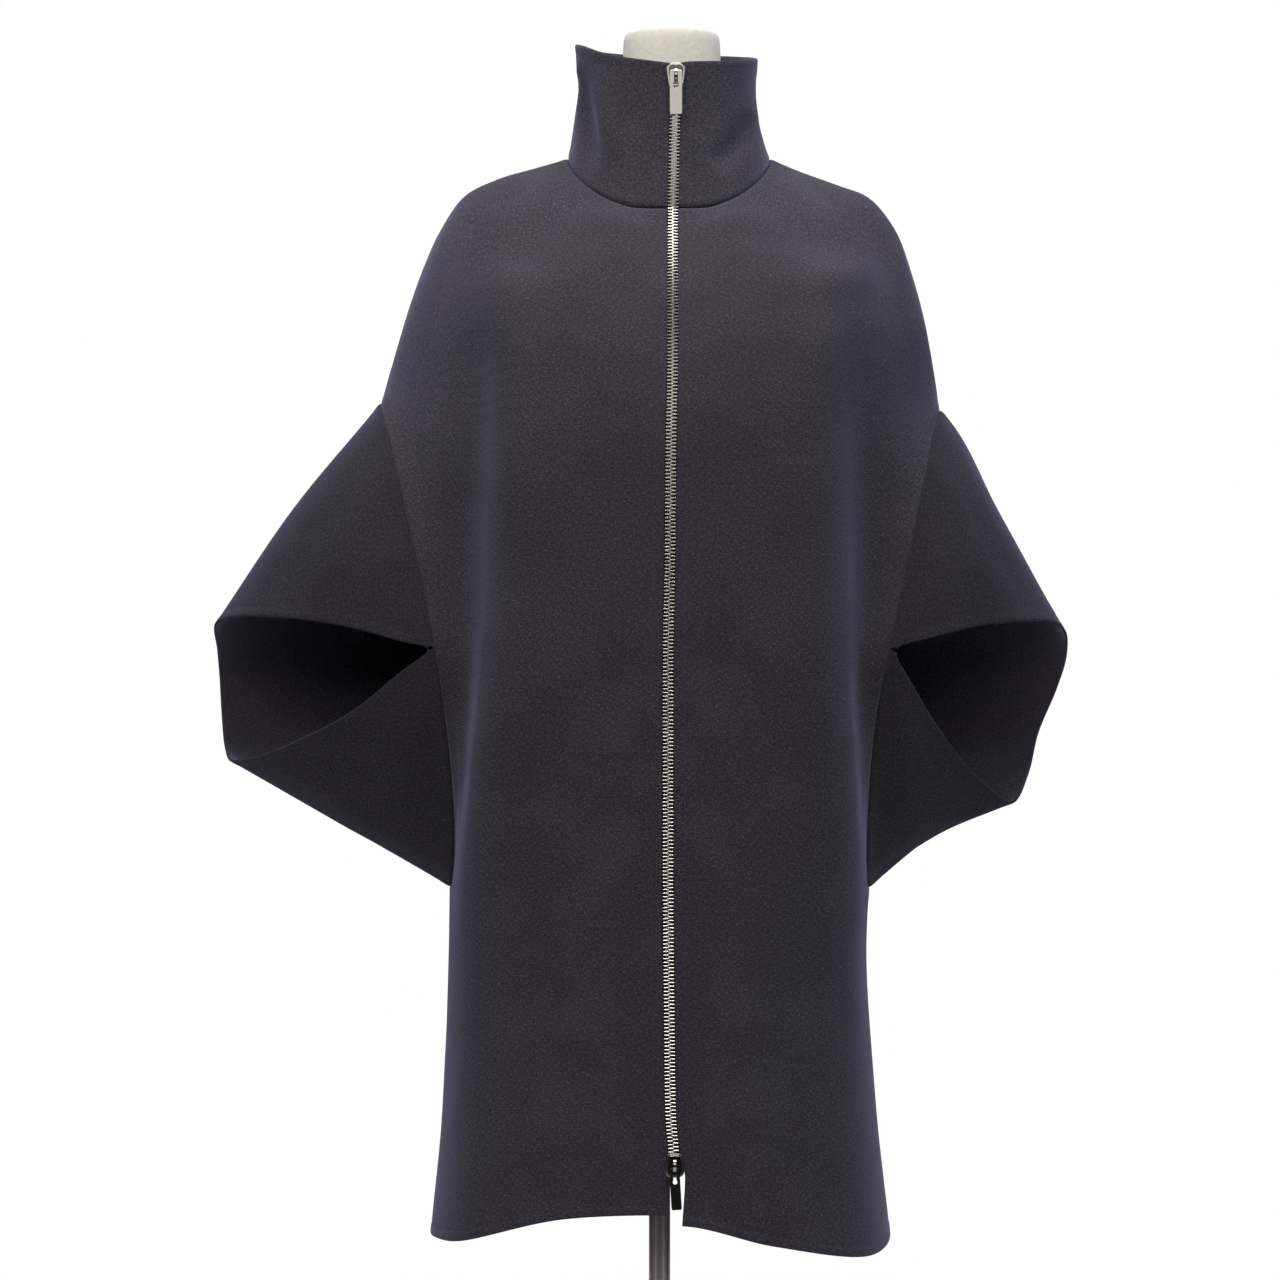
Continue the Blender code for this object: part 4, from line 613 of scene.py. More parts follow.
BACK_ARMHOLE = named(
    Seam,
    (0.2485, 0.044, 1.1670), (0.2400, 0.069, 1.1300), (0.2260, 0.088, 1.0700),
    (0.2120, 0.098, 1.0000), (0.2000, 0.100, 0.9300), (0.1900, 0.091, 0.8600),
    (0.1840, 0.066, 0.8000), (0.1845, 0.030, 0.7570),
)
SIDE_SEAM = {
    "right": named(
        Seam,
        (0.1886, 0.000, 0.7422), (0.1882, 0.002, 0.7200), (0.1872, 0.003, 0.6900),
        (0.1890, 0.003, 0.6400), (0.1922, 0.003, 0.5900), (0.1958, 0.003, 0.5240),
        (0.2003, 0.003, 0.4830), (0.2055, 0.003, 0.4335),
    ),
    "left": named(
        Seam,
        (0.1885, 0.000, 0.7413), (0.1860, 0.002, 0.7200), (0.1845, 0.003, 0.6950),
        (0.1862, 0.003, 0.6400), (0.1903, 0.003, 0.5900), (0.1950, 0.003, 0.5300),
        (0.2005, 0.003, 0.4860), (0.2065, 0.003, 0.4360),
    ),
}

print("armhole drop", round(FRONT_ARMHOLE["left"][0].height - FRONT_ARMHOLE["left"][-1].height, 3), "m")

# %% [markdown]
# ### The back
#
# The photo doesn't show the back, so it mirrors what the front's shape asks for: a smooth panel
# from the neck to the hem, with the same ridge and hollow beside the armholes.

# %% Measurements of the back
BackRow = namedtuple("BackRow", "centre_z ridge_out ridge_y ridge_z valley_out valley_y valley_z")
BACK_SHOULDER = named(
    BackRow,
    (1.378, 0.082, 0.062, 1.383, 0.107, 0.036, 1.388),
    (1.350, 0.108, 0.076, 1.362, 0.139, 0.042, 1.371),
    (1.320, 0.132, 0.085, 1.338, 0.168, 0.045, 1.349),
    (1.285, 0.148, 0.093, 1.302, 0.193, 0.053, 1.308),
    (1.245, 0.154, 0.101, 1.252, 0.210, 0.060, 1.256),
    (1.208, 0.156, 0.105, 1.210, 0.214, 0.065, 1.212),
)
BackLevel = namedtuple("BackLevel", "height centre_y ridge_out ridge_y valley_out valley_y")
BACK_LEVELS = named(
    BackLevel,
    (1.405, 0.075, 0.060, 0.060, 0.090, 0.040),
    (1.350, 0.096, 0.110, 0.075, 0.150, 0.045),
    (1.285, 0.110, 0.148, 0.093, 0.187, 0.056),
    (1.175, 0.119, 0.156, 0.107, 0.214, 0.074),
    (1.085, 0.120, 0.150, 0.112, 0.196, 0.090),
    (1.000, 0.119, 0.147, 0.114, 0.184, 0.101),
    (0.900, 0.121, 0.150, 0.113, 0.175, 0.096),
    (0.820, 0.125, 0.160, 0.102, 0.176, 0.074),
    (0.746, 0.129, 0.170, 0.080, 0.186, 0.038),
    (0.690, 0.131, 0.166, 0.090, 0.186, 0.046),
    (0.600, 0.133, 0.167, 0.095, 0.187, 0.050),
    (0.500, 0.135, 0.172, 0.099, 0.194, 0.053),
    (0.434, 0.136, 0.177, 0.102, 0.200, 0.055),
)
HEM_BACK = 0.4700
HEM_BACK_RIDGE = 0.4480
HEM_BACK_VALLEY = 0.4390
BACK_MIDDLE_SHARE = 0.55
BACK_MIDDLE_X = 0.00625

print("back length", round(NECK_HEIGHTS[-1] - HEM_BACK, 3), "m")

# %% [markdown]
# ### Sleeve cuffs
#
# A wing sleeve is one wide piece. Its open edge starts at the slit's point, runs out along the upper
# edge to the top fold, down the back edge to the bottom fold, and back in along the lower edge.
# "belly" is how far the cloth bulges between the seam and that edge.

# %% Measurements of the cuffs
Cuff = namedtuple("Cuff", "share out y height belly")
CUFF_UPPER = {
    "right": named(
        Cuff,
        (0.00, 0.2020, -0.0925, 0.9588, 0.000), (0.13, 0.2240, -0.0900, 0.9630, 0.001),
        (0.30, 0.2530, -0.0830, 0.9710, 0.003), (0.46, 0.2819, -0.0740, 0.9776, 0.005),
        (0.62, 0.3126, -0.0620, 0.9823, 0.006), (0.78, 0.3440, -0.0460, 0.9850, 0.006),
        (0.92, 0.3800, -0.0170, 0.9858, 0.007), (1.00, 0.4030, 0.0180, 0.9785, 0.006),
    ),
    "left": named(
        Cuff,
        (0.00, 0.2052, -0.0925, 0.9585, 0.000), (0.15, 0.2256, -0.0890, 0.9640, 0.001),
        (0.32, 0.2519, -0.0810, 0.9706, 0.003), (0.48, 0.2785, -0.0680, 0.9768, 0.005),
        (0.64, 0.3070, -0.0520, 0.9800, 0.006), (0.80, 0.3350, -0.0300, 0.9818, 0.006),
        (0.92, 0.3560, -0.0060, 0.9800, 0.003), (1.00, 0.3690, 0.0180, 0.9700, 0.000),
    ),
}
CUFF_BACK = {
    "right": named(
        Cuff,
        (0.14, 0.4055, 0.0500, 0.9560, 0.006), (0.35, 0.4062, 0.0720, 0.9300, 0.008),
        (0.62, 0.4040, 0.0700, 0.8960, 0.008), (0.86, 0.3980, 0.0480, 0.8660, 0.004),
    ),
    "left": named(
        Cuff,
        (0.14, 0.3722, 0.0420, 0.9480, 0.004), (0.35, 0.3660, 0.0590, 0.9200, 0.008),
        (0.62, 0.3490, 0.0570, 0.8800, 0.008), (0.86, 0.3370, 0.0380, 0.8420, -0.006),
    ),
}
CUFF_LOWER = {
    "right": named(
        Cuff,
        (0.00, 0.3880, 0.0180, 0.8545, 0.000), (0.10, 0.3660, -0.0060, 0.8580, 0.000),
        (0.30, 0.3158, -0.0440, 0.8778, 0.002), (0.55, 0.2675, -0.0690, 0.9040, 0.003),
        (0.80, 0.2207, -0.0850, 0.9410, 0.001), (1.00, 0.2012, -0.0915, 0.9540, 0.000),
    ),
    "left": named(
        Cuff,
        (0.00, 0.3210, 0.0150, 0.8175, -0.011), (0.14, 0.2944, -0.0110, 0.8336, -0.006),
        (0.36, 0.2620, -0.0450, 0.8660, 0.000), (0.60, 0.2397, -0.0660, 0.8951, 0.003),
        (0.82, 0.2160, -0.0830, 0.9330, 0.001), (1.00, 0.2040, -0.0920, 0.9520, 0.000),
    ),
}
SLIT_PARTING = 0.0008
UNDERARM_EASE = {"right": 0.10, "left": 0.90}
UNDERARM_SHARP = (0.85, 0.45)

print("cuff points:", {side: len(CUFF_UPPER[side]) for side in CUFF_UPPER})

# %% [markdown]
# ### The collar
#
# A funnel collar: an oval strip that stands up from the neckline and leans out a little to the rim,
# higher behind than in front. Its stiff cloth creases softly where it bends at the sides.

# %% Measurements of the collar
RIM_X = 0.006
RIM_Y = -0.010
RIM_HALF_WIDTH = 0.0815
RIM_FRONT = 0.070
RIM_BACK = 0.072
RIM_ANGLES = (0, 10, 25, 45, 70, 90, 115, 150, 180)
RIM_HEIGHTS = {
    "right": (1.4680, 1.4705, 1.4745, 1.4820, 1.4930, 1.4980, 1.5000, 1.5015, 1.5020),
    "left": (1.4680, 1.4700, 1.4715, 1.4745, 1.4810, 1.4860, 1.4930, 1.5000, 1.5020),
}
Crease = namedtuple("Crease", "angle_low angle_high depth half_angle")
COLLAR_CREASES = {
    "right": Crease(52, 86, 0.0030, 15),
    "left": Crease(96, 84, 0.0055, 14),
}
CREASE_RISE = 1.15
RIM_FLARE = 0.0035
RIM_ZIP_X = 0.0140

print("rim height in front", RIM_HEIGHTS["right"][0])

# %% [markdown]
# ## How finely the cloth is drawn
#
# The solids use few rows. Here each stretch is cut much finer, and finest close to a seam or an
# edge, because the groove of a seam and the roll of a hem are only a few millimetres wide.

# %% Shares along each stretch of the panels
def finer(steps, parts):
    """The same stretch with each step cut into equal parts."""
    values = []
    for low, high in zip(steps, steps[1:]):
        values += [mix(low, high, part / parts) for part in range(parts)]
    return tuple(values + [steps[-1]])


def shares(parts, near_start=(), near_end=()):
    """Shares of a span from 0 to 1, without the 0, with extra ones near its ends."""
    even = [part / parts for part in range(1, parts + 1)]
    return tuple(sorted(set(list(near_start) + even + [1 - share for share in near_end])))


def mirrored(spans):
    """Spans read from the other end."""
    return tuple(tuple([1 - share for share in span[-2::-1]] + [1.0]) for span in spans[::-1])


NECK_EDGE = (0.008, 0.02, 0.04, 0.07, 0.11, 0.16, 0.22, 0.30)
HEM_EDGE = (0.001, 0.003, 0.007, 0.013, 0.019, 0.025, 0.030)
SIDE_EDGE = (0.01, 0.025, 0.05, 0.08, 0.12, 0.17, 0.23)
ZIP_EDGE = (0.004, 0.010, 0.020, 0.034, 0.050, 0.075) + tuple(0.095 + 0.01 * step for step in range(10))
SHOULDER_STEPS = tuple(sorted(set(NECK_EDGE + finer((0.0, 1.0, 2.0, 3.0, 4.0, 5.0, 6.0, 7.0), 6)[:-1])))
ARM_UPPER_STEPS = finer((0.0, 0.08, 0.19, 0.34, 0.50, 0.67, 0.84, 1.0), 6)
ARM_LOWER_STEPS = finer((0.0, 0.17, 0.35, 0.53, 0.71, 0.87, 1.0), 6)[1:]
ARM_BACK_STEPS = finer((0.0, 0.06, 0.13, 0.21, 0.30, 0.39, 0.48, 0.57, 0.66, 0.75, 0.83, 0.90, 0.95,
                        1.0), 6)
SKIRT_STEPS = tuple(sorted(set(finer((0.0, 0.07, 0.18, 0.32, 0.48, 0.64, 0.80, 0.92, 1.0), 5)[1:]
                               + tuple(1 - share for share in HEM_EDGE))))
SPANS = {
    "front": (shares(16, ZIP_EDGE), shares(14), shares(14), shares(12, (), SIDE_EDGE)),
    "back": (shares(12, SIDE_EDGE), shares(14), shares(12), shares(12)),
}
SLEEVE_STEPS = (0.0,) + shares(22, (0.004, 0.010, 0.018, 0.028), (0.004, 0.010, 0.018, 0.030, 0.038))
COLLAR_RISES = (0.0,) + shares(26, (0.010, 0.022, 0.050, 0.060, 0.070), (0.004, 0.012, 0.024))
row_count = sum(len(steps) for steps in (SHOULDER_STEPS, ARM_UPPER_STEPS, ARM_LOWER_STEPS, SKIRT_STEPS))
print("rows of a front:", row_count, "columns:", 1 + sum(len(span) for span in SPANS["front"]))

# %% [markdown]
# ## From the tables to rows of points
#
# Every row of a panel runs from the zip or the middle, over the ridge and through the hollow, to the
# seam. The seams are drawn first, and both pieces that meet there use the same points.

# %% Seams as rows of points
def armhole_paths(side):
    """The armhole seam: front from its top to the slit, on to the underarm, and the back."""
    front = [world(side, *row) for row in FRONT_ARMHOLE[side]]
    top, underarm = front[0], front[-1]
    back = [top] + [world(side, *row) for row in BACK_ARMHOLE] + [underarm]
    forward = np.array([0.0, -1.0, 0.0])
    whole_front = Path(front, first=forward, last=-forward)
    return whole_front, Path(back, first=-forward, last=forward)


def armhole_samples(side):
    """Points of the armhole on the front rows and on the back rows, from top to underarm."""
    front, back = armhole_paths(side)
    slit = front.knots[SLIT_STATION]
    upper = [front.at(share * slit) for share in ARM_UPPER_STEPS]
    lower = [front.at(mix(slit, front.knots[-1], share)) for share in ARM_LOWER_STEPS]
    behind = [back.at(share * back.knots[-1]) for share in ARM_BACK_STEPS]
    return upper + lower, behind


def overarm_samples(side):
    """Points of the seam over the shoulder, from the neckline to just above the armhole."""
    rows = [neck_point(SHOULDER_POINT, side)]
    rows += [world(side, row.seam_out, row.seam_y, row.seam_z) for row in SHOULDER[side]]
    rows.append(world(side, *FRONT_ARMHOLE[side][0]))
    path = Path(rows)
    return [path.row(step) for step in SHOULDER_STEPS]


def side_samples(side):
    """Points of the side seam, from the underarm to the hem."""
    path = Path([world(side, *row) for row in SIDE_SEAM[side]])
    return [path.at(share * path.knots[-1]) for share in SKIRT_STEPS]


print("seam points on the armhole:", [len(row) for row in armhole_samples("right")])

# %% Control points of the fronts
def flank_point(centre, ridge):
    """Point between the zip and the ridge, which keeps the chest nearly flat."""
    flank = mix(centre, ridge, FLANK_SHARE)
    flank[1] = mix(centre[1], ridge[1], FLANK_SLOPE)
    return flank


def ridge_and_valley(table, side, ridge_z, valley_z):
    """Points of the ridge and of the hollow at their heights."""
    return (world(side, *read_table(table, ridge_z, "ridge_out", "ridge_y"), ridge_z),
            world(side, *read_table(table, valley_z, "valley_out", "valley_y"), valley_z))


def shoulder_points(row, side):
    """Points of the ridge and of the hollow on a row of the shoulder."""
    return (world(side, row.ridge_out, row.ridge_y, row.ridge_z),
            world(side, row.valley_out, row.valley_y, row.valley_z))


def front_controls_at(side, outer, centre_z, ridge_z, valley_z):
    """Control points of a row of a front: zip line, flank, ridge, hollow and outer seam."""
    centre = zip_point(centre_z)
    ridge, valley = ridge_and_valley(FRONT_LEVELS[side], side, ridge_z, valley_z)
    return [centre, flank_point(centre, ridge), ridge, valley, outer]


def shoulder_columns(columns, last_row):
    """Each control column over the shoulder, as a path by row number."""
    return [Path(list(column) + [last]) for column, last in zip(columns, last_row)]


def front_rows(side):
    """Control points of every row of one front, from neckline to hem."""
    overarm = overarm_samples(side)
    armhole, _ = armhole_samples(side)
    side_seam = side_samples(side)
    columns = [[neck_point(angle, side)] for angle in FRONT_NECK_STOPS[:4]]
    for row in SHOULDER[side]:
        centre = zip_point(row.centre_z)
        ridge, valley = shoulder_points(row, side)
        for column, point in zip(columns, (centre, flank_point(centre, ridge), ridge, valley)):
            column.append(point)
    arm_rows = [front_controls_at(side, point, point[2], point[2], point[2]) for point in armhole]
    paths = shoulder_columns(columns, arm_rows[0][:4])
    rows = [[path.row(step) for path in paths] + [outer] for step, outer in zip(SHOULDER_STEPS, overarm)]
    rows += arm_rows
    underarm = armhole[-1][2]
    for share, outer in zip(SKIRT_STEPS, side_seam):
        heights = [mix(underarm, hem[side], share) for hem in (HEM_CENTRE, HEM_RIDGE, HEM_VALLEY)]
        controls = front_controls_at(side, outer, *heights)
        controls[1][2] = mix(underarm, HEM_MIDDLE[side], share)
        rows.append(controls)
    return rows


EASED_ABOVE = 7
EASED_BELOW = 14


def eased(rows, columns):
    """Smooth the join of the shoulder rows and the rows below, along each control column."""
    low, high = len(SHOULDER_STEPS) - EASED_ABOVE, len(SHOULDER_STEPS) + EASED_BELOW
    for column in columns:
        points = np.array([row[column] for row in rows[low - 1:high + 2]])
        walked = walked_along(points)
        span = walked[-2] - walked[1]
        first = (points[2] - points[0]) / (walked[2] - walked[0]) * span
        last = (points[-1] - points[-3]) / (walked[-1] - walked[-3]) * span
        for index in range(low, high + 1):
            t = (walked[index - low + 1] - walked[1]) / span
            rows[index][column] = hermite(points[1], points[-2], first, last, t)
    return rows


front_controls = {side: eased(front_rows(side), (0, 1, 2, 3)) for side in SIGN}
print("rows:", {side: len(rows) for side, rows in front_controls.items()})

# %% Control points of the back
def back_middle(centre, ridge):
    """Point between the back's middle and its ridge."""
    middle = mix(ridge, centre, BACK_MIDDLE_SHARE)
    middle[1] = mix(centre[1], ridge[1], FLANK_SLOPE)
    return middle


def back_controls_at(side, centre_z, ridge_z, valley_z):
    """Control points of half a row of the back: hollow, ridge, between, and middle."""
    centre_y = read_table(BACK_LEVELS, centre_z, "centre_y")[0]
    ridge, valley = ridge_and_valley(BACK_LEVELS, side, ridge_z, valley_z)
    centre = np.array([BACK_MIDDLE_X, centre_y, centre_z])
    return [valley, ridge, back_middle(centre, ridge), centre]


def back_half(side):
    """Control points of every row of one half of the back, from the seam to the middle."""
    overarm = overarm_samples(side)
    _, armhole = armhole_samples(side)
    side_seam = side_samples(side)
    columns = [[neck_point(angle, side)] for angle in BACK_NECK_STOPS[1:]]
    for row in BACK_SHOULDER:
        ridge, valley = shoulder_points(row, side)
        centre = np.array([NECK_X, read_table(BACK_LEVELS, row.centre_z, "centre_y")[0], row.centre_z])
        for column, point in zip(columns, (valley, ridge, back_middle(centre, ridge), centre)):
            column.append(point)
    heights = [point[2] for point in armhole]
    levels = [back_controls_at(side, z, z, z) for z in heights]
    paths = shoulder_columns(columns, levels[0])
    rows = [[outer] + [path.row(step) for path in paths] for step, outer in zip(SHOULDER_STEPS, overarm)]
    rows += [[point] + level for point, level in zip(armhole, levels)]
    for share, outer in zip(SKIRT_STEPS, side_seam):
        drops = [mix(heights[-1], hem, share) for hem in (HEM_BACK, HEM_BACK_RIDGE, HEM_BACK_VALLEY)]
        rows.append([outer] + back_controls_at(side, *drops))
    return rows


back_controls = {side: eased(back_half(side), (1, 2, 3, 4)) for side in SIGN}
print("rows of the back:", len(back_controls["right"]))

# %% [markdown]
# ### Sleeves
#
# A sleeve is ruled between its two loops: the armhole seam and the open edge. A station is one line
# between them. At each station the cloth leaves the seam in line with the body, less so under the
# arm, where it turns sharply.

# %% Stations round a sleeve
def seam_normal(along, across, outward):
    """Normal shared by the cloth on both sides of a seam."""
    normal = unit(np.cross(unit(along), unit(across)))
    return normal if np.dot(normal, outward) > 0 else -normal


def in_plane(vector, normal):
    """A direction turned into the plane square to a normal."""
    return unit(vector - normal * np.dot(vector, normal))


def cuff_path(side):
    """The cuff's loop from the slit's point over the top fold, the back and the bottom fold."""
    rows = list(CUFF_UPPER[side]) + list(CUFF_BACK[side]) + list(CUFF_LOWER[side])
    shares = [row.share for row in CUFF_UPPER[side]]
    shares += [1 + row.share for row in CUFF_BACK[side]]
    shares += [2 + row.share for row in CUFF_LOWER[side]]
    path = Path([world(side, row.out, row.y, row.height) for row in rows])
    return path, shares, [row.belly for row in rows]


def cuff_at(cuff, share):
    """Cuff point and belly at a share of the way round, 0 to 3."""
    path, shares, bellies = cuff
    return path.at(pchip(shares, list(path.knots), share)), pchip(shares, bellies, share)


Station = namedtuple("Station", "seam cuff belly normal ease")
ARMHOLE_MIDDLE = (0.19, 0.0, 0.96)


def seam_ease(side, body, chord):
    """How far the sleeve leaves its seam in line with the body, less where the two turn sharply."""
    straight, sharp = UNDERARM_SHARP
    turn = (straight - np.dot(unit(body), unit(chord))) / (straight - sharp)
    return mix(1.0, UNDERARM_EASE[side], min(1.0, max(0.0, turn)))


def sleeve_stations(side, fronts, halves):
    """Stations round the sleeve, each with its seam point, its cuff point and the shared normal."""
    armhole, behind = armhole_samples(side)
    slit = len(ARM_UPPER_STEPS) - 1
    first = len(SHOULDER_STEPS)
    count = len(armhole)
    loop, shares, bodies = [], [], []
    for index in range(slit, -1, -1):
        loop.append(armhole[index])
        shares.append(mix(1.0, 0.0, ARM_UPPER_STEPS[index]))
        bodies.append(armhole[index] - fronts[first + index][3])
    for index in range(1, count):
        loop.append(behind[index])
        shares.append(1.0 + ARM_BACK_STEPS[index])
        bodies.append(behind[index] - halves[first + index][1])
    for index in range(count - 2, slit - 1, -1):
        loop.append(armhole[index])
        done = ARM_LOWER_STEPS[index - slit - 1] if index > slit else 0.0
        shares.append(3.0 - done)
        bodies.append(armhole[index] - fronts[first + index][3])
    top, underarm = slit, slit + count - 1
    bodies[top] = loop[top] - fronts[first - 1][4]
    bodies[underarm] = loop[underarm] - fronts[first + count][4]
    cuff = cuff_path(side)
    middle = world(side, *ARMHOLE_MIDDLE)
    stations = []
    for index, (seam, share, body) in enumerate(zip(loop, shares, bodies)):
        edge, belly = cuff_at(cuff, share)
        before = loop[index - 1] if index > 0 else loop[-2]
        after = loop[index + 1] if index < len(loop) - 1 else loop[1]
        across = unit(body) + unit(edge - seam)
        normal = seam_normal(after - before, across, seam - middle)
        stations.append(Station(seam, edge, belly, normal, seam_ease(side, body, edge - seam)))
    return stations


stations = {side: sleeve_stations(side, front_controls[side], back_controls[side]) for side in SIGN}
print("stations:", {side: len(rows) for side, rows in stations.items()})

# %% [markdown]
# ### Direction of the cloth at the seams
#
# Two pieces that meet at a seam must turn their walls the same way there, or they would cross. So
# each seam point gets one shared direction out of the cloth.

# %% Shared directions at the seams
def arm_normals(stations):
    """The sleeve's seam normals sorted onto the front rows and the back rows."""
    slit = len(ARM_UPPER_STEPS) - 1
    count = len(ARM_BACK_STEPS)
    upper = [stations[index].normal for index in range(slit, -1, -1)]
    behind = [stations[slit + index].normal for index in range(count)]
    lower = [stations[len(stations) - 1 - index].normal for index in range(1, len(ARM_LOWER_STEPS))]
    return upper + lower + [behind[-1]], behind


def edge_normals(side, fronts, halves, stations):
    """Shared normals down the outer edge of a front, and down that edge of the back."""
    outer = [row[4] for row in fronts]
    first = len(SHOULDER_STEPS)
    arm_front, arm_back = arm_normals(stations)
    last = first + len(arm_front)
    normals = []
    for index in range(len(outer)):
        if first <= index < last:
            normals.append(None)
            continue
        before = outer[index - 1] if index > 0 else outer[index]
        after = outer[index + 1] if index not in (first - 1, len(outer) - 1) else outer[index]
        across = unit(outer[index] - fronts[index][3]) + unit(halves[index][1] - outer[index])
        normals.append(seam_normal(after - before, across, np.array([SIGN[side], 0.0, 0.6])))
    front_edge = normals[:first] + arm_front + normals[last:]
    back_edge = normals[:first] + arm_back + normals[last:]
    return front_edge, back_edge


seam_directions = {side: edge_normals(side, front_controls[side], back_controls[side], stations[side])
                   for side in SIGN}
print("directions:", {side: len(rows[0]) for side, rows in seam_directions.items()})

# %% [markdown]
# ### Grids of points
#
# Each row's control points become one smooth curve, which is cut at the chosen shares. All rows
# together are a grid, which is the outer face of the cloth.

# %% Grids of the fronts, the back and the sleeves
def row_points(controls, spans, first=None, last=None):
    """Points along one row, each span between control points cut at its shares."""
    path = Path(controls, first, last)
    points = [path.points[0]]
    for index, span in enumerate(spans):
        points += [path.span(index, share) for share in span]
    return points, path


def spread(stops, spans):
    """Numbers between stops, each span cut at its shares."""
    values = [stops[0]]
    for low, high, span in zip(stops, stops[1:], spans):
        values += [mix(low, high, share) for share in span]
    return values


def neck_row(side, angles):
    """Points of the neckline at a list of angles."""
    return [neck_point(angle, side) for angle in angles]


def front_neck_angles(side):
    """Angles of the neckline's points along one front, the first at the zip's edge."""
    gap = zip_point(NECK_HEIGHTS[0])[0] + SIGN[side] * ZIP_HALF - NECK_X
    start = math.degrees(math.asin(abs(gap) / NECK_HALF_WIDTH))
    return spread((start,) + FRONT_NECK_STOPS[1:], SPANS["front"])


def ease_neckline(grid, neck):
    """Bring the first rows onto the neckline, by less and less down to the first measured row."""
    grid = np.array(grid)
    shift = np.array(neck) - grid[0]
    for row, step in enumerate(SHOULDER_STEPS):
        grid[row] += shift * max(0.0, 1 - step) ** 2
    return grid


TURN_ABOVE = 0.035
TURN_BELOW = 0.060


def turned_evenly(ends, heights):
    """Turn the rows' end directions evenly past the armhole's top, so that no crease starts there."""
    top = heights[len(SHOULDER_STEPS)]
    high, low = top + TURN_ABOVE, top - TURN_BELOW
    passed = [index for index, height in enumerate(heights) if low < height < high]
    start, stop = unit(ends[passed[0] - 1]), unit(ends[passed[-1] + 1])
    for index in passed:
        share = (high - heights[index]) / (high - low)
        ends[index] = unit(mix(start, stop, share * share * (3 - 2 * share)))
    return ends


def front_grid(side, rows, directions):
    """Outer face of one front, as rows of points from the zip's edge to the outer seam."""
    grid = []
    ends = [in_plane(controls[4] - controls[3], direction) for controls, direction in zip(rows, directions)]
    ends = turned_evenly(ends, [controls[4][2] for controls in rows])
    outward = world(side, 1.0, 0.0, 0.0)
    for controls, last in zip(rows, ends):
        half = read_table(CENTRE_FRONT, controls[0][2], side + "_half")[0]
        points, path = row_points(controls, SPANS["front"], outward, last)
        edge = half / path.gaps[0]
        first_span = [path.span(0, mix(edge, 1.0, share)) for share in (0.0,) + SPANS["front"][0]]
        grid.append(first_span + points[len(first_span):])
    return ease_neckline(grid, neck_row(side, front_neck_angles(side)))


def back_grid(halves, directions):
    """Outer face of the back, as rows of points from the right seam to the left seam."""
    grid = []
    spans = SPANS["back"]
    ends = {side: turned_evenly([in_plane(row[1] - row[0], direction)
                                 for row, direction in zip(halves[side], directions[side])],
                                [row[0][2] for row in halves[side]]) for side in SIGN}
    for right, left, first, last in zip(halves["right"], halves["left"], ends["right"], ends["left"]):
        controls = right[:4] + [mix(right[4], left[4], 0.5)] + left[3::-1]
        grid.append(row_points(controls, spans + mirrored(spans), first, -last)[0])
    angles = spread(BACK_NECK_STOPS, spans)
    return ease_neckline(grid, neck_row("right", angles) + neck_row("left", angles)[-2::-1])


def sleeve_grid(stations):
    """Outer face of one sleeve, a row for each station from its seam to its cuff."""
    grid = []
    for index, station in enumerate(stations):
        seam = station.seam.copy()
        if index == 0:
            seam = seam + unit(stations[1].seam - seam) * SLIT_PARTING
        if index == len(stations) - 1:
            seam = seam + unit(stations[index - 1].seam - seam) * SLIT_PARTING
        chord = station.cuff - seam
        middle = mix(seam, station.cuff, 0.5) + station.normal * station.belly
        leaving = unit(mix(unit(chord), in_plane(chord, station.normal), station.ease))
        path = Path([seam, middle, station.cuff], first=leaving)
        grid.append([path.at(share * path.knots[-1]) for share in SLEEVE_STEPS])
    return np.array(grid)


RELAX_ROUNDS = 160
RELAX_STEP = 0.6
RELAX_DROP = 0.010
RELAX_HEIGHT = 0.045
RELAX_EDGE = 0.004


def relaxed(grid, seam_columns):
    """Even out a panel round the armhole's top, where its rows crowd, but leave its edges alone."""
    grid = grid.copy()
    top = grid[len(SHOULDER_STEPS), seam_columns[0]]
    weight = np.exp(-(((grid[:, :, 2] - top[2] + RELAX_DROP) / RELAX_HEIGHT) ** 2))
    for column in seam_columns:
        aside = grid[:, :, 0] - grid[:, column, None, 0]
        weight = weight * (1 - 0.5 * np.exp(-(aside / RELAX_EDGE) ** 2))
    weight[(0, -1), :] = 0.0
    weight[:, (0, -1)] = 0.0
    for _ in range(RELAX_ROUNDS):
        around = (grid[:-2, 1:-1] + grid[2:, 1:-1] + grid[1:-1, :-2] + grid[1:-1, 2:]) / 4
        grid[1:-1, 1:-1] += RELAX_STEP * weight[1:-1, 1:-1, None] * (around - grid[1:-1, 1:-1])
    return grid


grids = {"front_" + side: relaxed(front_grid(side, front_controls[side], seam_directions[side][0]), (-1,))
         for side in SIGN}
back_directions = {side: seam_directions[side][1] for side in SIGN}
grids["back"] = relaxed(back_grid(back_controls, back_directions), (0, -1))
grids.update({"sleeve_" + side: sleeve_grid(stations[side]) for side in SIGN})
print("grids:", {name: grid.shape[:2] for name, grid in grids.items()})

# %% [markdown]
# ### The collar's grid
#
# The collar's columns start at the same points of the neckline as the panels' columns, and rise to
# the rim. The two long creases of the solid are kept here.

# %% Grid of the collar
def collar_angles(side):
    """Angles of the collar's columns on one side, matching the panels' points at the neckline."""
    return front_neck_angles(side) + spread(BACK_NECK_STOPS, SPANS["back"])[1:]


def rim_x(angle, side):
    """Place across the rim's oval at an angle."""
    return RIM_X + SIGN[side] * RIM_HALF_WIDTH * math.sin(math.radians(angle))


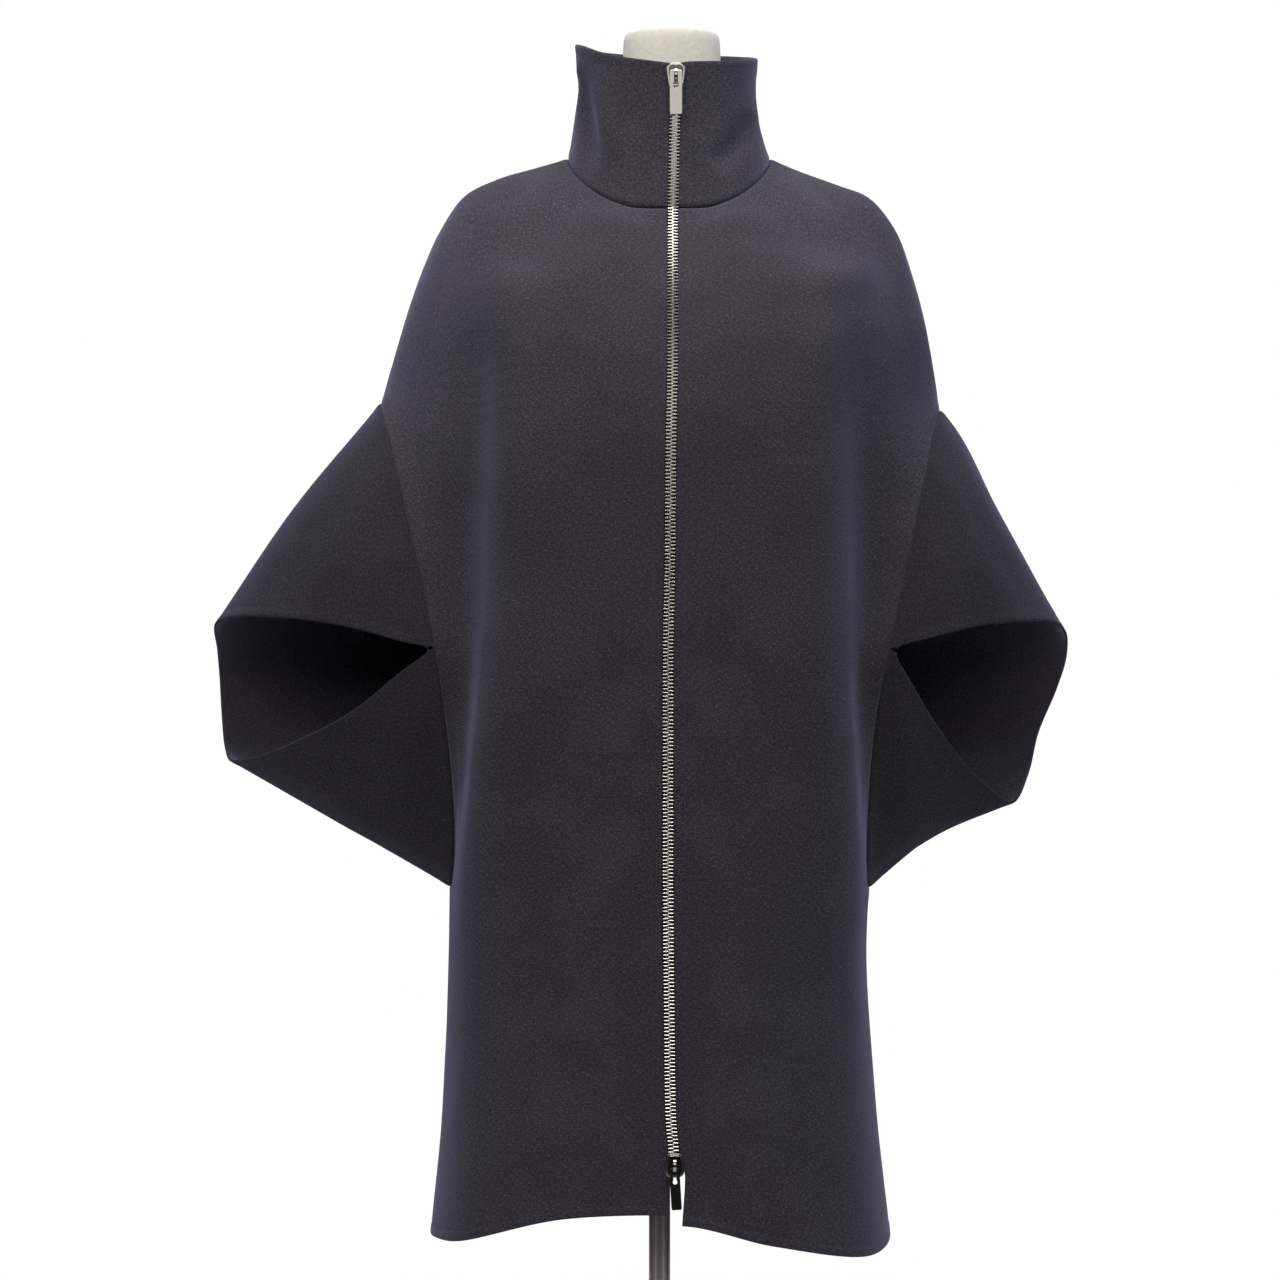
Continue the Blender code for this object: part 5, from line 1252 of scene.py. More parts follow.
def rim_point(angle, side, start):
    """Point of the collar's rim at an angle. The first point stays beside the zip."""
    depth = RIM_FRONT if angle < 90 else RIM_BACK
    near_zip = max(0.0, 1 - (angle - start) / FRONT_NECK_STOPS[1])
    shift = (RIM_ZIP_X + SIGN[side] * ZIP_HALF - rim_x(start, side)) * near_zip
    return np.array([rim_x(angle, side) + shift, RIM_Y - depth * math.cos(math.radians(angle)),
                     pchip(RIM_ANGLES, RIM_HEIGHTS[side], angle)])


def collar_columns():
    """Angle and side of each column of the collar, from the right front edge round to the left."""
    right = [(angle, "right") for angle in collar_angles("right")]
    left = [(angle, "left") for angle in collar_angles("left")]
    return right + left[-2::-1]


def crease_depth(angle, side, rise):
    """How far a crease of the collar's side pushes the cloth inwards."""
    crease = COLLAR_CREASES[side]
    at = mix(crease.angle_low, crease.angle_high, rise)
    near = max(0.0, 1 - abs(angle - at) / crease.half_angle)
    return crease.depth * near * near * (3 - 2 * near) * math.sin(math.pi * min(1.0, rise * CREASE_RISE))


def collar_grid():
    """Outer face of the collar, as rows from the neckline seam up to the rim."""
    starts = {side: front_neck_angles(side)[0] for side in SIGN}
    grid = []
    for rise in COLLAR_RISES:
        row = []
        for angle, side in collar_columns():
            base = neck_point(angle, side)
            point = mix(base, rim_point(angle, side, starts[side]), rise)
            aside = (NECK_X - base[0]) * min(1.0, (angle - starts[side]) / FRONT_NECK_STOPS[1])
            inward = unit(np.array([aside, NECK_Y - base[1], 0.0]))
            waist = RIM_FLARE * math.sin(math.pi * rise)
            row.append(point + inward * (waist + crease_depth(angle, side, rise)))
        grid.append(row)
    return np.array(grid)


grids["collar"] = collar_grid()
print("collar grid:", grids["collar"].shape[:2])

# %% [markdown]
# ## Soft relief of real cloth
#
# Real cloth isn't as even as a drawing. It rolls over at every edge, dips at a seam, and stands up
# beside it, where the seam allowance lies underneath. Hems and cuffs were pressed flat in a band. All
# of these follow the distance to an edge, measured along the cloth. The larger creases were placed one
# by one, each as a soft ridge or trough along a bent line, with its own width and depth.

# %% Distance to the edges of a piece
def edge_distances(grid):
    """Distance along the cloth from each point to its grid's top, bottom, start and end."""
    across = np.linalg.norm(np.diff(grid, axis=1), axis=2)
    down = np.linalg.norm(np.diff(grid, axis=0), axis=2)
    start = np.concatenate([np.zeros((grid.shape[0], 1)), np.cumsum(across, axis=1)], axis=1)
    top = np.concatenate([np.zeros((1, grid.shape[1])), np.cumsum(down, axis=0)], axis=0)
    return {"top": top, "bottom": top[-1:] - top, "start": start, "end": start[:, -1:] - start}


def bump_at(distance, middle, width):
    """A smooth bump across a distance, 1 at its middle."""
    return np.exp(-((distance - middle) / width) ** 2)


ROLL = 0.0012
ROLL_DEPTH = 0.0006
STITCH_LINE = 0.0097
GROOVE_DEPTH = 0.00055
GROOVE_WIDTH = 0.0016
ALLOWANCE_RISE = 0.00032
ALLOWANCE_FROM = 0.0018
ALLOWANCE_TO = 0.0085
HEM_RISE = 0.00042
HEM_END = 0.0072
HEM_LINE = 0.0086
HEM_LINE_DEPTH = 0.00020
TURNED_RISE = 0.00030
TURNED_END = 0.0094
STITCH_DEPTH = 0.00034
SEAM_FADE = 0.014
SHORT_ROW = 0.030


def rolled(distance):
    """How far the cloth's face drops where its edge rolls over."""
    return -ROLL_DEPTH * np.clip(1 - distance / ROLL, 0.0, 1.0) ** 2


def seam_relief(distance, along):
    """Groove of a seam, and the allowance under the cloth beside it, a little uneven along it."""
    uneven = 1 + 0.18 * np.sin(along * 61.0) + 0.12 * np.sin(along * 143.0 + 1.0)
    begins = np.tanh((distance - ALLOWANCE_FROM) / 0.0009)
    ends = np.tanh((distance - ALLOWANCE_TO) / 0.0016)
    allowance = 0.5 * (begins - ends)
    return -GROOVE_DEPTH * bump_at(distance, 0.0, GROOVE_WIDTH) + ALLOWANCE_RISE * uneven * allowance


def hem_relief(distance, along):
    """Pressed band of a hem or cuff, with the faint line where the turning ends."""
    uneven = 1 + 0.20 * np.sin(along * 37.0) + 0.15 * np.sin(along * 97.0 + 2.0)
    band = 0.5 * (1 - np.tanh((distance - HEM_END) / 0.0012))
    return HEM_RISE * uneven * band - HEM_LINE_DEPTH * bump_at(distance, HEM_LINE, 0.0011)


def zip_relief(distance, along):
    """The cloth turned under beside the zip, with the stitch line that holds the tape."""
    uneven = 1 + 0.15 * np.sin(along * 83.0)
    band = 0.5 * (1 - np.tanh((distance - TURNED_END) / 0.0015))
    return TURNED_RISE * uneven * band - STITCH_DEPTH * bump_at(distance, STITCH_LINE, 0.0009)


RELIEFS = {"seam": seam_relief, "hem": hem_relief, "zip": zip_relief}
FRONT_EDGES = {"top": "seam", "end": "seam", "start": "zip", "bottom": "hem"}
SLEEVE_EDGES = {"start": "seam", "end": "hem"}
EDGES = {
    "front_right": FRONT_EDGES,
    "front_left": FRONT_EDGES,
    "back": {"top": "seam", "start": "seam", "end": "seam", "bottom": "hem"},
    "sleeve_right": SLEEVE_EDGES,
    "sleeve_left": SLEEVE_EDGES,
    "collar": {"top": "seam", "bottom": "hem", "start": "zip", "end": "zip"},
}


def relief(name, grid):
    """Height of the fine relief over a piece, and how far its edges roll over."""
    distances = edge_distances(grid)
    along = {"top": "start", "bottom": "start", "start": "top", "end": "top"}
    short = np.clip(distances["start"][:, -1:] / SHORT_ROW, 0.0, 1.0)
    height = np.zeros(grid.shape[:2])
    for edge, kind in EDGES[name].items():
        height += RELIEFS[kind](distances[edge], distances[along[edge]])
    nearest = np.minimum.reduce([distances[edge] for edge in EDGES[name]])
    return height * short, rolled(nearest)


print("reliefs for", len(EDGES), "pieces")

# %% [markdown]
# ### Creases placed one by one
#
# Each line runs from its first point to its last, seen from the front and in metres, and bends
# towards the one between. A positive depth is a ridge and a negative one a trough. All of them fade
# towards a seam, so that the seams stay closed. The ones on the hidden back are like those that show.

# %% The creases
Fold = namedtuple("Fold", "x0 z0 x1 z1 x2 z2 width depth")
FOLDS = {
    "front_right": (
        (-0.162, 1.362, -0.098, 1.150, -0.140, 0.840, 0.021, 0.0056),
        (-0.160, 1.250, -0.172, 1.090, -0.176, 0.880, 0.022, -0.0090),
        (-0.085, 1.300, -0.078, 1.200, -0.100, 1.110, 0.016, -0.0012),
        (-0.150, 1.080, -0.120, 0.960, -0.128, 0.830, 0.018, 0.0011),
        (-0.060, 1.060, -0.052, 0.900, -0.066, 0.700, 0.026, -0.0010),
        (-0.120, 0.800, -0.100, 0.660, -0.110, 0.470, 0.022, -0.0016),
        (-0.060, 0.760, -0.070, 0.620, -0.058, 0.465, 0.024, 0.0013),
        (-0.176, 0.960, -0.160, 0.900, -0.170, 0.800, 0.009, -0.0011),
    ),
    "front_left": (
        (0.168, 1.360, 0.102, 1.150, 0.144, 0.850, 0.021, 0.0058),
        (0.178, 1.240, 0.184, 1.080, 0.184, 0.880, 0.022, -0.0088),
        (0.090, 1.310, 0.096, 1.230, 0.120, 1.140, 0.015, -0.0011),
        (0.150, 1.100, 0.128, 0.960, 0.136, 0.820, 0.018, 0.0012),
        (0.064, 1.020, 0.070, 0.880, 0.060, 0.690, 0.026, -0.0009),
        (0.128, 0.780, 0.112, 0.640, 0.120, 0.450, 0.022, -0.0015),
        (0.070, 0.740, 0.078, 0.600, 0.070, 0.455, 0.023, 0.0012),
        (0.180, 0.960, 0.166, 0.890, 0.174, 0.790, 0.009, -0.0011),
    ),
    "back": (
        (-0.176, 1.250, -0.190, 1.080, -0.174, 0.900, 0.016, -0.0062),
        (0.180, 1.230, 0.194, 1.070, 0.180, 0.890, 0.016, -0.0066),
        (-0.110, 1.290, -0.098, 1.160, -0.112, 0.980, 0.020, -0.0013),
        (0.104, 1.300, 0.096, 1.150, 0.118, 0.990, 0.019, -0.0014),
        (-0.050, 1.080, -0.058, 0.860, -0.040, 0.520, 0.028, 0.0014),
        (0.062, 1.020, 0.056, 0.820, 0.074, 0.490, 0.027, 0.0012),
        (-0.128, 0.860, -0.120, 0.690, -0.134, 0.470, 0.020, -0.0016),
        (0.130, 0.900, 0.118, 0.700, 0.128, 0.460, 0.022, -0.0017),
    ),
    "collar": (
        (-0.073, 1.474, -0.064, 1.432, -0.054, 1.380, 0.0066, -0.0056),
        (-0.052, 1.470, -0.049, 1.420, -0.043, 1.385, 0.010, 0.0026),
        (0.045, 1.378, 0.068, 1.394, 0.083, 1.432, 0.009, -0.0056),
        (0.030, 1.460, 0.036, 1.430, 0.030, 1.400, 0.012, -0.0010),
    ),
    "sleeve_right": (
        (-0.270, 1.100, -0.320, 1.030, -0.370, 0.990, 0.014, -0.0016),
        (-0.240, 0.900, -0.300, 0.880, -0.370, 0.900, 0.016, 0.0016),
        (-0.220, 0.850, -0.270, 0.860, -0.340, 0.860, 0.012, -0.0014),
    ),
    "sleeve_left": (
        (0.268, 1.090, 0.310, 1.020, 0.350, 0.990, 0.014, -0.0015),
        (0.240, 0.900, 0.280, 0.880, 0.335, 0.900, 0.014, 0.0016),
        (0.215, 0.850, 0.260, 0.850, 0.315, 0.850, 0.012, -0.0014),
    ),
}


def fold_height(name, grid):
    """Sum of a piece's creases at each point, fading at their ends and at the seams."""
    height = np.zeros(grid.shape[:2])
    for fold in (Fold(*row) for row in FOLDS[name]):
        start, middle, end = (np.array(pair) for pair in
                              ((fold.x0, fold.z0), (fold.x1, fold.z1), (fold.x2, fold.z2)))
        nearest = np.full(grid.shape[:2], 1e9)
        fade = np.zeros(grid.shape[:2])
        for t in np.linspace(0.0, 1.0, 41):
            point = start * (1 - t) ** 2 + middle * 2 * t * (1 - t) + end * t * t
            distance = np.hypot(grid[:, :, 0] - point[0], grid[:, :, 2] - point[1])
            closer = distance < nearest
            nearest = np.where(closer, distance, nearest)
            fade = np.where(closer, math.sin(math.pi * t) ** 0.8 if 0 < t < 1 else 0.0, fade)
        height += fold.depth * fade * np.exp(-(nearest / fold.width) ** 2)
    distances = edge_distances(grid)
    for edge, kind in EDGES[name].items():
        if kind == "seam":
            height *= 1 - np.exp(-(distances[edge] / SEAM_FADE) ** 2)
    return height


print("creases:", {name: len(rows) for name, rows in FOLDS.items()})

# %% [markdown]
# ## Making the cloth
#
# Every piece starts as a flat grid, as a cut piece of cloth would. Its points are moved onto the outer
# face, then all its faces are extruded once and the new ones moved to the inner face. That leaves a
# closed thin shell with real edges. Before that, its UV map is set from the lengths along the cloth,
# so the wool's grain isn't stretched. The inner face gets a finish of its own.

# %% From a grid of points to a thin shell of cloth
def grid_normals(grid, outward_hint):
    """Normals of a grid of points, all on the side of the hint."""
    down = np.gradient(grid, axis=0)
    along = np.gradient(grid, axis=1)
    normals = np.cross(down, along)
    normals /= np.linalg.norm(normals, axis=2)[:, :, None]
    middle = tuple(size // 2 for size in grid.shape[:2])
    if np.dot(normals[middle], outward_hint) < 0:
        normals = -normals
    return normals


def set_edge_normals(normals, start=None, end=None):
    """Replace the normals of a grid's first or last column."""
    if start is not None:
        normals[:, 0] = np.array(start)
    if end is not None:
        normals[:, -1] = np.array(end)


def draw_back(grid, edges):
    """Move the named edges of a grid back along the cloth by half of the seam's gap."""
    moved = grid.copy()
    for edge in edges:
        at, beside = {"top": ((0,), (1,)), "bottom": ((-1,), (-2,)),
                      "start": ((slice(None), 0), (slice(None), 1)),
                      "end": ((slice(None), -1), (slice(None), -2))}[edge]
        step = grid[beside] - grid[at]
        moved[at] += step / np.linalg.norm(step, axis=-1)[..., None] * HALF_GAP
    return moved


def flat(normal):
    """A normal with no lean to either side."""
    return unit(np.array([0.0, normal[1], normal[2]]))


def flat_all(normals):
    """The same for a column of normals."""
    return np.array([flat(normal) for normal in normals])


def neckline_normals(collar_normals, panel_normals):
    """Mitre between the collar and the panels at the neckline."""
    mitres = collar_normals + panel_normals
    length = np.linalg.norm(mitres, axis=1)[:, None]
    return mitres * 2 / length ** 2


def cloth_uv(grid):
    """Place of each point on the flat cloth, in metres: across the grain, and along it."""
    distances = edge_distances(grid)
    middle = grid.shape[1] // 2
    across = distances["start"] - distances["start"][:, middle:middle + 1]
    along = distances["top"][:, middle:middle + 1] + np.zeros(grid.shape[:2])
    return np.stack([across, along], axis=2)


def as_mesh(name, body):
    """The finished bmesh as a mesh."""
    mesh = bpy.data.meshes.new(name)
    body.to_mesh(mesh)
    body.free()
    return mesh


def shown_object(mesh, materials, sharp_angle=180):
    """A mesh as an object in the scene, smooth but for edges sharper than an angle."""
    for material in materials:
        mesh.materials.append(material)
    mesh.shade_smooth()
    if sharp_angle < 180:
        mesh.set_sharp_from_angle(angle=math.radians(sharp_angle))
    made = bpy.data.objects.new(mesh.name, mesh)
    bpy.context.scene.collection.objects.link(made)
    return made


def shell_object(name, outer, inner, material, inside):
    """A closed shell between two grids of points, smooth, with a UV map in metres."""
    rows, columns = outer.shape[:2]
    outer_points, inner_points = outer.reshape(-1, 3), inner.reshape(-1, 3)
    flat_places = cloth_uv(outer).reshape(-1, 2)
    body = bmesh.new()
    bmesh.ops.create_grid(body, x_segments=columns - 1, y_segments=rows - 1, size=0.5)
    number = body.verts.layers.int.new("number")
    uv_layer = body.loops.layers.uv.new("cloth")
    for index, vertex in enumerate(body.verts):
        vertex[number] = index
        vertex.co = outer_points[index]
    for face in body.faces:
        for loop in face.loops:
            loop[uv_layer].uv = flat_places[loop.vert[number]]
    extruded = bmesh.ops.extrude_face_region(body, geom=body.faces[:])
    for item in extruded["geom"]:
        if isinstance(item, bmesh.types.BMVert):
            item.co = inner_points[item[number]]
        if isinstance(item, bmesh.types.BMFace):
            item.material_index = 1
    bmesh.ops.recalc_face_normals(body, faces=body.faces[:])
    return shown_object(as_mesh(name, body), (material, inside), 50)


def cloth_area(grid):
    """Area of a grid of points in square metres."""
    side_a = grid[1:, :-1] - grid[:-1, :-1]
    side_b = grid[:-1, 1:] - grid[:-1, :-1]
    side_c = grid[:-1, 1:] - grid[1:, 1:]
    side_d = grid[1:, :-1] - grid[1:, 1:]
    first = np.linalg.norm(np.cross(side_a, side_b), axis=2)
    second = np.linalg.norm(np.cross(side_c, side_d), axis=2)
    return float((first.sum() + second.sum()) / 2)


def flat_size(grid):
    """Width and length of the flat cut: the widest row and the longest column."""
    across = np.linalg.norm(np.diff(grid, axis=1), axis=2).sum(axis=1).max()
    down = np.linalg.norm(np.diff(grid, axis=0), axis=2).sum(axis=0).max()
    return float(across), float(down)


def lay_sheet(piece, grid):
    """State the cut of a piece of cloth."""
    width, length = flat_size(grid)
    area = cloth_area(grid)
    print(f"{piece.name}: cut {width:.3f} x {length:.3f} m, {area:.3f} square metres")


print("shell maker ready")

# %% [markdown]
# ### Which way each piece faces
#
# The walls of neighbours must share one direction at a seam, so the directions found for the seams
# replace the ones measured on the grids there. At the neckline the direction is a mitre.

# %% Directions out of the cloth for every piece
FORWARD = np.array([0.0, -1.0, 0.0])
directions = {}
for side in SIGN:
    turned_out = grid_normals(grids["front_" + side], FORWARD)
    set_edge_normals(turned_out, start=flat_all(turned_out[:, 0]), end=seam_directions[side][0])
    directions["front_" + side] = turned_out
    turned_out = grid_normals(grids["sleeve_" + side], world(side, 1.0, 0.0, 0.0))
    middle = turned_out.shape[0] // 2
    if np.dot(turned_out[middle, 2], -FORWARD) < 0:
        turned_out = -turned_out
    set_edge_normals(turned_out, start=[station.normal for station in stations[side]])
    directions["sleeve_" + side] = turned_out

directions["back"] = grid_normals(grids["back"], -FORWARD)
set_edge_normals(directions["back"], start=seam_directions["right"][1], end=seam_directions["left"][1])
turned_out = grid_normals(grids["collar"], -FORWARD)
if np.dot(turned_out[2, 0], FORWARD) < 0:
    turned_out = -turned_out
set_edge_normals(turned_out, start=flat_all(turned_out[:, 0]), end=flat_all(turned_out[:, -1]))
directions["collar"] = turned_out

panel_row = np.concatenate([directions["front_right"][0], directions["back"][0][1:-1],
                            directions["front_left"][0][::-1]])
mitre = neckline_normals(directions["collar"][0], panel_row)
corner = len(directions["front_right"][0])
directions["collar"][0] = mitre
directions["front_right"][0] = mitre[:corner]
directions["back"][0] = mitre[corner - 1:len(mitre) - corner + 1]
directions["front_left"][0] = mitre[len(mitre) - corner:][::-1]
print("directions:", {name: values.shape[:2] for name, values in directions.items()})

# %% [markdown]
# ### Fronts, back, sleeves and collar
#
# Now each piece is made. Its creases move both faces, the fine relief moves only the face that shows,
# and the roll of the edges thins the cloth from both faces.

# %% The cloth pieces
JOINED_EDGES = {name: [edge for edge in kinds if kinds[edge] == "seam"] for name, kinds in EDGES.items()}
shown_grids = {}
for name, grid in grids.items():
    outward = directions[name]
    folded = draw_back(grid + outward * fold_height(name, grid)[:, :, None], JOINED_EDGES[name])
    fine, roll = relief(name, grid)
    shown = folded + outward * (fine + roll)[:, :, None]
    hidden = folded - outward * (WALL + roll)[:, :, None]
    shown_grids[name] = shown
    # The sleeves take the darker wool, painted shade; every inner face takes the paler one, painted light.
    finish = sleeve_wool_painted_shade if name.startswith("sleeve") else wool
    piece = shell_object(name + "_cloth", shown, hidden, finish, inner_wool_painted_light)
    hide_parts(name)
    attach(piece, ROOT)
    lay_sheet(piece, shown)

# %% [markdown]
# ## The zip
#
# The zip is a metal one with wide teeth. Its two tapes are sewn behind the front edges and come
# forward between them, where each tooth is clamped on. The line of the zip is read off the cloth
# beside it, with the way it faces at each point, and can then be asked for at any height.

# %% The line of the zip
CHAIN_PROUD = 0.0010
CHAIN_SUNK = 0.0013
TAPE_TOP_DROP = 0.0020
CHAIN_END = 0.5245
TAPE_END = 0.5120
SLIDER_TOP_Z = 1.4580
SLIDER_BOTTOM_Z = 0.5180
SLIDER_HEIGHT = 0.0205
SLIDER_WIDE = 0.0180
SLIDER_NARROW = 0.0135


def facet_rows(side, front_grid, normals, collar, collar_normals):
    """The strip of cloth beside the zip, rim to hem: its two points and their normals on each row."""
    edge, beside = (0, 1) if side == "right" else (-1, -2)
    rows = [(collar[row, edge], collar[row, beside], collar_normals[row, edge], collar_normals[row, beside])
            for row in range(len(COLLAR_RISES) - 1, 0, -1)]
    rows += [(points[0], points[1], turned_to[0], turned_to[1])
             for points, turned_to in zip(front_grid, normals)]
    return [np.array(row) for row in rows]


def rim_zip_x(height):
    """The zip's place across the collar at a height."""
    share = (height - NECK_HEIGHTS[0]) / (RIM_HEIGHTS["right"][0] - NECK_HEIGHTS[0])
    return mix(zip_point(NECK_HEIGHTS[0])[0], RIM_ZIP_X, share)


def zip_x_at(height):
    """The zip's place across the front at any height."""
    return rim_zip_x(height) if height > NECK_HEIGHTS[0] else zip_point(height)[0]


def cut_rows(rows, end):
    """The part of a list of rows above a height, ending exactly there."""
    kept = [row for row in rows if row[0][2] > end]
    before, after = kept[-1], rows[len(kept)]
    share = (before[0][2] - end) / (before[0][2] - after[0][2])
    return kept + [mix(before, after, share)]


facets = {side: facet_rows(side, grids["front_" + side], directions["front_" + side],
                           grids["collar"], directions["collar"]) for side in SIGN}


def zip_line():
    """Points of the zip's line from the hem up, and the directions out of the cloth there."""
    points, facing = [], []
    for index, (edge, _, direction, _) in enumerate(facets["right"]):
        on_collar = index < len(COLLAR_RISES) - 1
        points.append((rim_zip_x(edge[2]), edge[1], edge[2]) if on_collar else zip_point(edge[2]))
        facing.append(flat(direction))
    return np.array(points)[::-1], np.array(facing)[::-1]


line_points, line_facing = zip_line()


def zip_place(height):
    """Point and direction of the zip's line at a height, and how far that direction leans."""
    place, facing = (np.array([np.interp(height, line_points[:, 2], values[:, axis]) for axis in range(3)])
                     for values in (line_points, line_facing))
    facing = unit(facing)
    return place, facing, math.atan2(facing[2], -facing[1])


def on_zip(body, verts, place, lean):
    """Move new parts from the origin to a place of the zip, and lean them with it."""
    bmesh.ops.transform(body, matrix=Matrix.Translation(place) @ Matrix.Rotation(-lean, 4, "X"), verts=verts)


print("zip from", round(line_points[-1][2], 4), "to", CHAIN_END)

# %% [markdown]
# ### Tapes
#
# Seen in section, each tape lies flat behind the cloth and bends forward near the middle. A short
# table gives its distance from the middle and its depth behind the cloth's face.

# %% The two tapes
TapeColumn = namedtuple("TapeColumn", "aside depth")
TAPE_WIDTH = 0.0150
TAPE_SECTION = (TapeColumn(TAPE_WIDTH, 0.0034), TapeColumn(0.0110, 0.0034), TapeColumn(0.0075, 0.0033),
                TapeColumn(0.0058, 0.0031), TapeColumn(0.0048, 0.0022), TapeColumn(0.0040, 0.0010),
                TapeColumn(0.0032, 0.0004), TapeColumn(0.0024, 0.0002))
TAPE_THICK = 0.0007
TAPE_TOP_SHARE = 0.15


def tape_grids(side):
    """Front and back face of one tape, a row for each row of the cloth beside it."""
    shown, hidden = [], []
    for edge, beside, edge_direction, beside_direction in cut_rows(facets[side], TAPE_END):
        half = SIGN[side] * (edge[0] - zip_x_at(edge[2]))
        length = np.linalg.norm(beside - edge)
        lean = mix(edge_direction, beside_direction, min(1.0, (TAPE_WIDTH - half) / length))
        aside = unit(beside - edge)
        for face, thick in ((shown, 0.0), (hidden, TAPE_THICK)):
            face.append([edge + aside * (column.aside - half) - lean * (column.depth + thick)
                         for column in TAPE_SECTION])
    shown, hidden = np.array(shown), np.array(hidden)
    top = shown[0, 0, 2] - TAPE_TOP_DROP
    for face in (shown, hidden):
        height = face[:, :, 2]
        face[:, :, 2] = np.where(height > top, top + (height - top) * TAPE_TOP_SHARE, height)
    return shown, hidden


for side in SIGN:
    shown, hidden = tape_grids(side)
    tape = shell_object("zip_tape_" + side + "_woven", shown, hidden, tape_cloth, tape_cloth)
    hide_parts("zip_tape_" + side)
    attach(tape, ROOT)
    lay_sheet(tape, shown)

# %% [markdown]
# ### Teeth
#
# Each tooth is a small bar clamped on a tape, with a head that reaches just past the middle. The teeth
# of the two sides are staggered by half a step, so their heads lock into one bright line. One tooth is
# modelled with bevelled edges, then repeated down both sides.

# %% Several hundred teeth from one
TOOTH_STEP = 0.0031
TOOTH_HIGH = 0.00148
TOOTH_OUTER = 0.0047
TOOTH_HEAD = 0.0008
TOOTH_DEEP = 0.0022
TOOTH_BEVEL = 0.00036
HEAD_HIGH = 0.80
HEAD_DEEP = 0.86


def tooth_mesh(sign):
    """One tooth on the middle line: a bar, thinner where it grips the tape, with a domed head."""
    body = bmesh.new()
    bmesh.ops.create_cube(body, size=1.0)
    bmesh.ops.scale(body, vec=(TOOTH_OUTER + TOOTH_HEAD, TOOTH_DEEP, TOOTH_HIGH), verts=body.verts[:])
    for vertex in body.verts:
        if vertex.co.x * sign > 0:
            vertex.co.z *= HEAD_HIGH
            vertex.co.y *= HEAD_DEEP
    bmesh.ops.translate(body, vec=(sign * (TOOTH_OUTER - TOOTH_HEAD) / 2, 0.0, 0.0), verts=body.verts[:])
    bmesh.ops.bevel(body, geom=body.edges[:], offset=TOOTH_BEVEL, offset_type="OFFSET", segments=1,
                    profile=0.5, affect="EDGES", material=-1)
    return as_mesh("tooth", body)


def rows_of_teeth(name, sign, start_height, end_height):
    """One row of teeth down the zip's line, as a single mesh."""
    tooth = tooth_mesh(sign)
    body = bmesh.new()
    height = start_height - (TOOTH_STEP / 2 if sign > 0 else 0.0)
    count = 0
    while height > end_height:
        place, outward, lean = zip_place(height)
        known = len(body.verts)
        body.from_mesh(tooth)
        body.verts.ensure_lookup_table()
        on_zip(body, body.verts[known:], place - outward * (CHAIN_SUNK - CHAIN_PROUD) / 2, lean)
        height -= TOOTH_STEP * math.cos(lean)
        count += 1
    teeth = shown_object(as_mesh(name, body), (nickel,), 30)
    print(name, count, "teeth,", len(teeth.data.polygons) // count, "faces each")
    return teeth


for side, sign in SIGN.items():
    teeth = rows_of_teeth("zip_teeth_" + side, sign, SLIDER_TOP_Z - SLIDER_HEIGHT * 0.35, CHAIN_END)
    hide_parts("zip_chain")
    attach(teeth, ROOT)

# %% [markdown]
# ### Sliders
#
# A two-way zip has two sliders. Each is a cast shield with a raised rim, walls at its sides that guide
# the teeth, and an arched bridge that holds the pull. The shield starts as a disc that is pulled
# towards a box, is extruded once, and gets a sunk face by an inset, painted dark as a painted
# reflection of the dark cloth. The bridge is a small rectangle spun half a turn.

# %% A slider: shield, side walls and bridge
SLIDER_PLATE = 0.0016
SLIDER_CLEAR = 0.0004
SLIDER_FACE = -(CHAIN_PROUD + SLIDER_CLEAR)
BRIDGE_LONG = 0.0113
BRIDGE_RISE = 0.0042
BRIDGE_WIDE = 0.0024
BRIDGE_THICK = 0.0013
BRIDGE_SUNK = 0.0004
Corner = namedtuple("Corner", "across up")
WIDE_CORNER = Corner(0.75, 0.62)
NARROW_CORNER = Corner(0.42, 0.30)
RIM_ROUND = 0.00055
RIM_WIDE = 0.0011
RECESS_SLOPE = 0.00035
RECESS_DEEP = 0.00045
GUIDE_THICK = 0.0012
GUIDE_DEEP = CHAIN_PROUD + 0.0006
GUIDE_ASIDE = 0.0058
GUIDE_HEIGHT = 0.84 * SLIDER_HEIGHT
GUIDE_OVERLAP = 0.0002
GUIDE_DROP = 0.0008


def shield(body, wide_end):
    """The slider's plate: an extruded disc pulled into a shield, with a raised rim."""
    disc = bmesh.ops.create_circle(body, cap_ends=True, radius=1.0, segments=48)["verts"]
    for vertex in disc:
        across, up = vertex.co.x, vertex.co.y
        corner = WIDE_CORNER if up > 0 else NARROW_CORNER
        across = math.copysign(abs(across) ** corner.across, across)
        up = math.copysign(abs(up) ** corner.up, up)
        half = mix(SLIDER_NARROW, SLIDER_WIDE, (up + 1) / 2) / 2
        vertex.co = (across * half, SLIDER_FACE, up * SLIDER_HEIGHT / 2 * wide_end)
    front = bmesh.ops.extrude_face_region(body, geom=body.faces[:])["geom"]
    moved = [item for item in front if isinstance(item, bmesh.types.BMVert)]
    bmesh.ops.translate(body, vec=(0.0, -SLIDER_PLATE, 0.0), verts=moved)
    cap = next(item for item in front if isinstance(item, bmesh.types.BMFace))
    bmesh.ops.bevel(body, geom=cap.edges[:], offset=RIM_ROUND, segments=3, profile=0.5, affect="EDGES",
                    material=-1)
    many_sided = [item for item in body.faces if len(item.verts) > 8]
    cap = min(many_sided, key=lambda item: item.calc_center_median().y)
    bmesh.ops.inset_region(body, faces=[cap], thickness=RIM_WIDE, depth=0.0)
    bmesh.ops.inset_region(body, faces=[cap], thickness=RECESS_SLOPE, depth=-RECESS_DEEP)
    # The sunk face takes the nickel painted dark, a painted reflection of the dark cloth.
    cap.material_index = 1


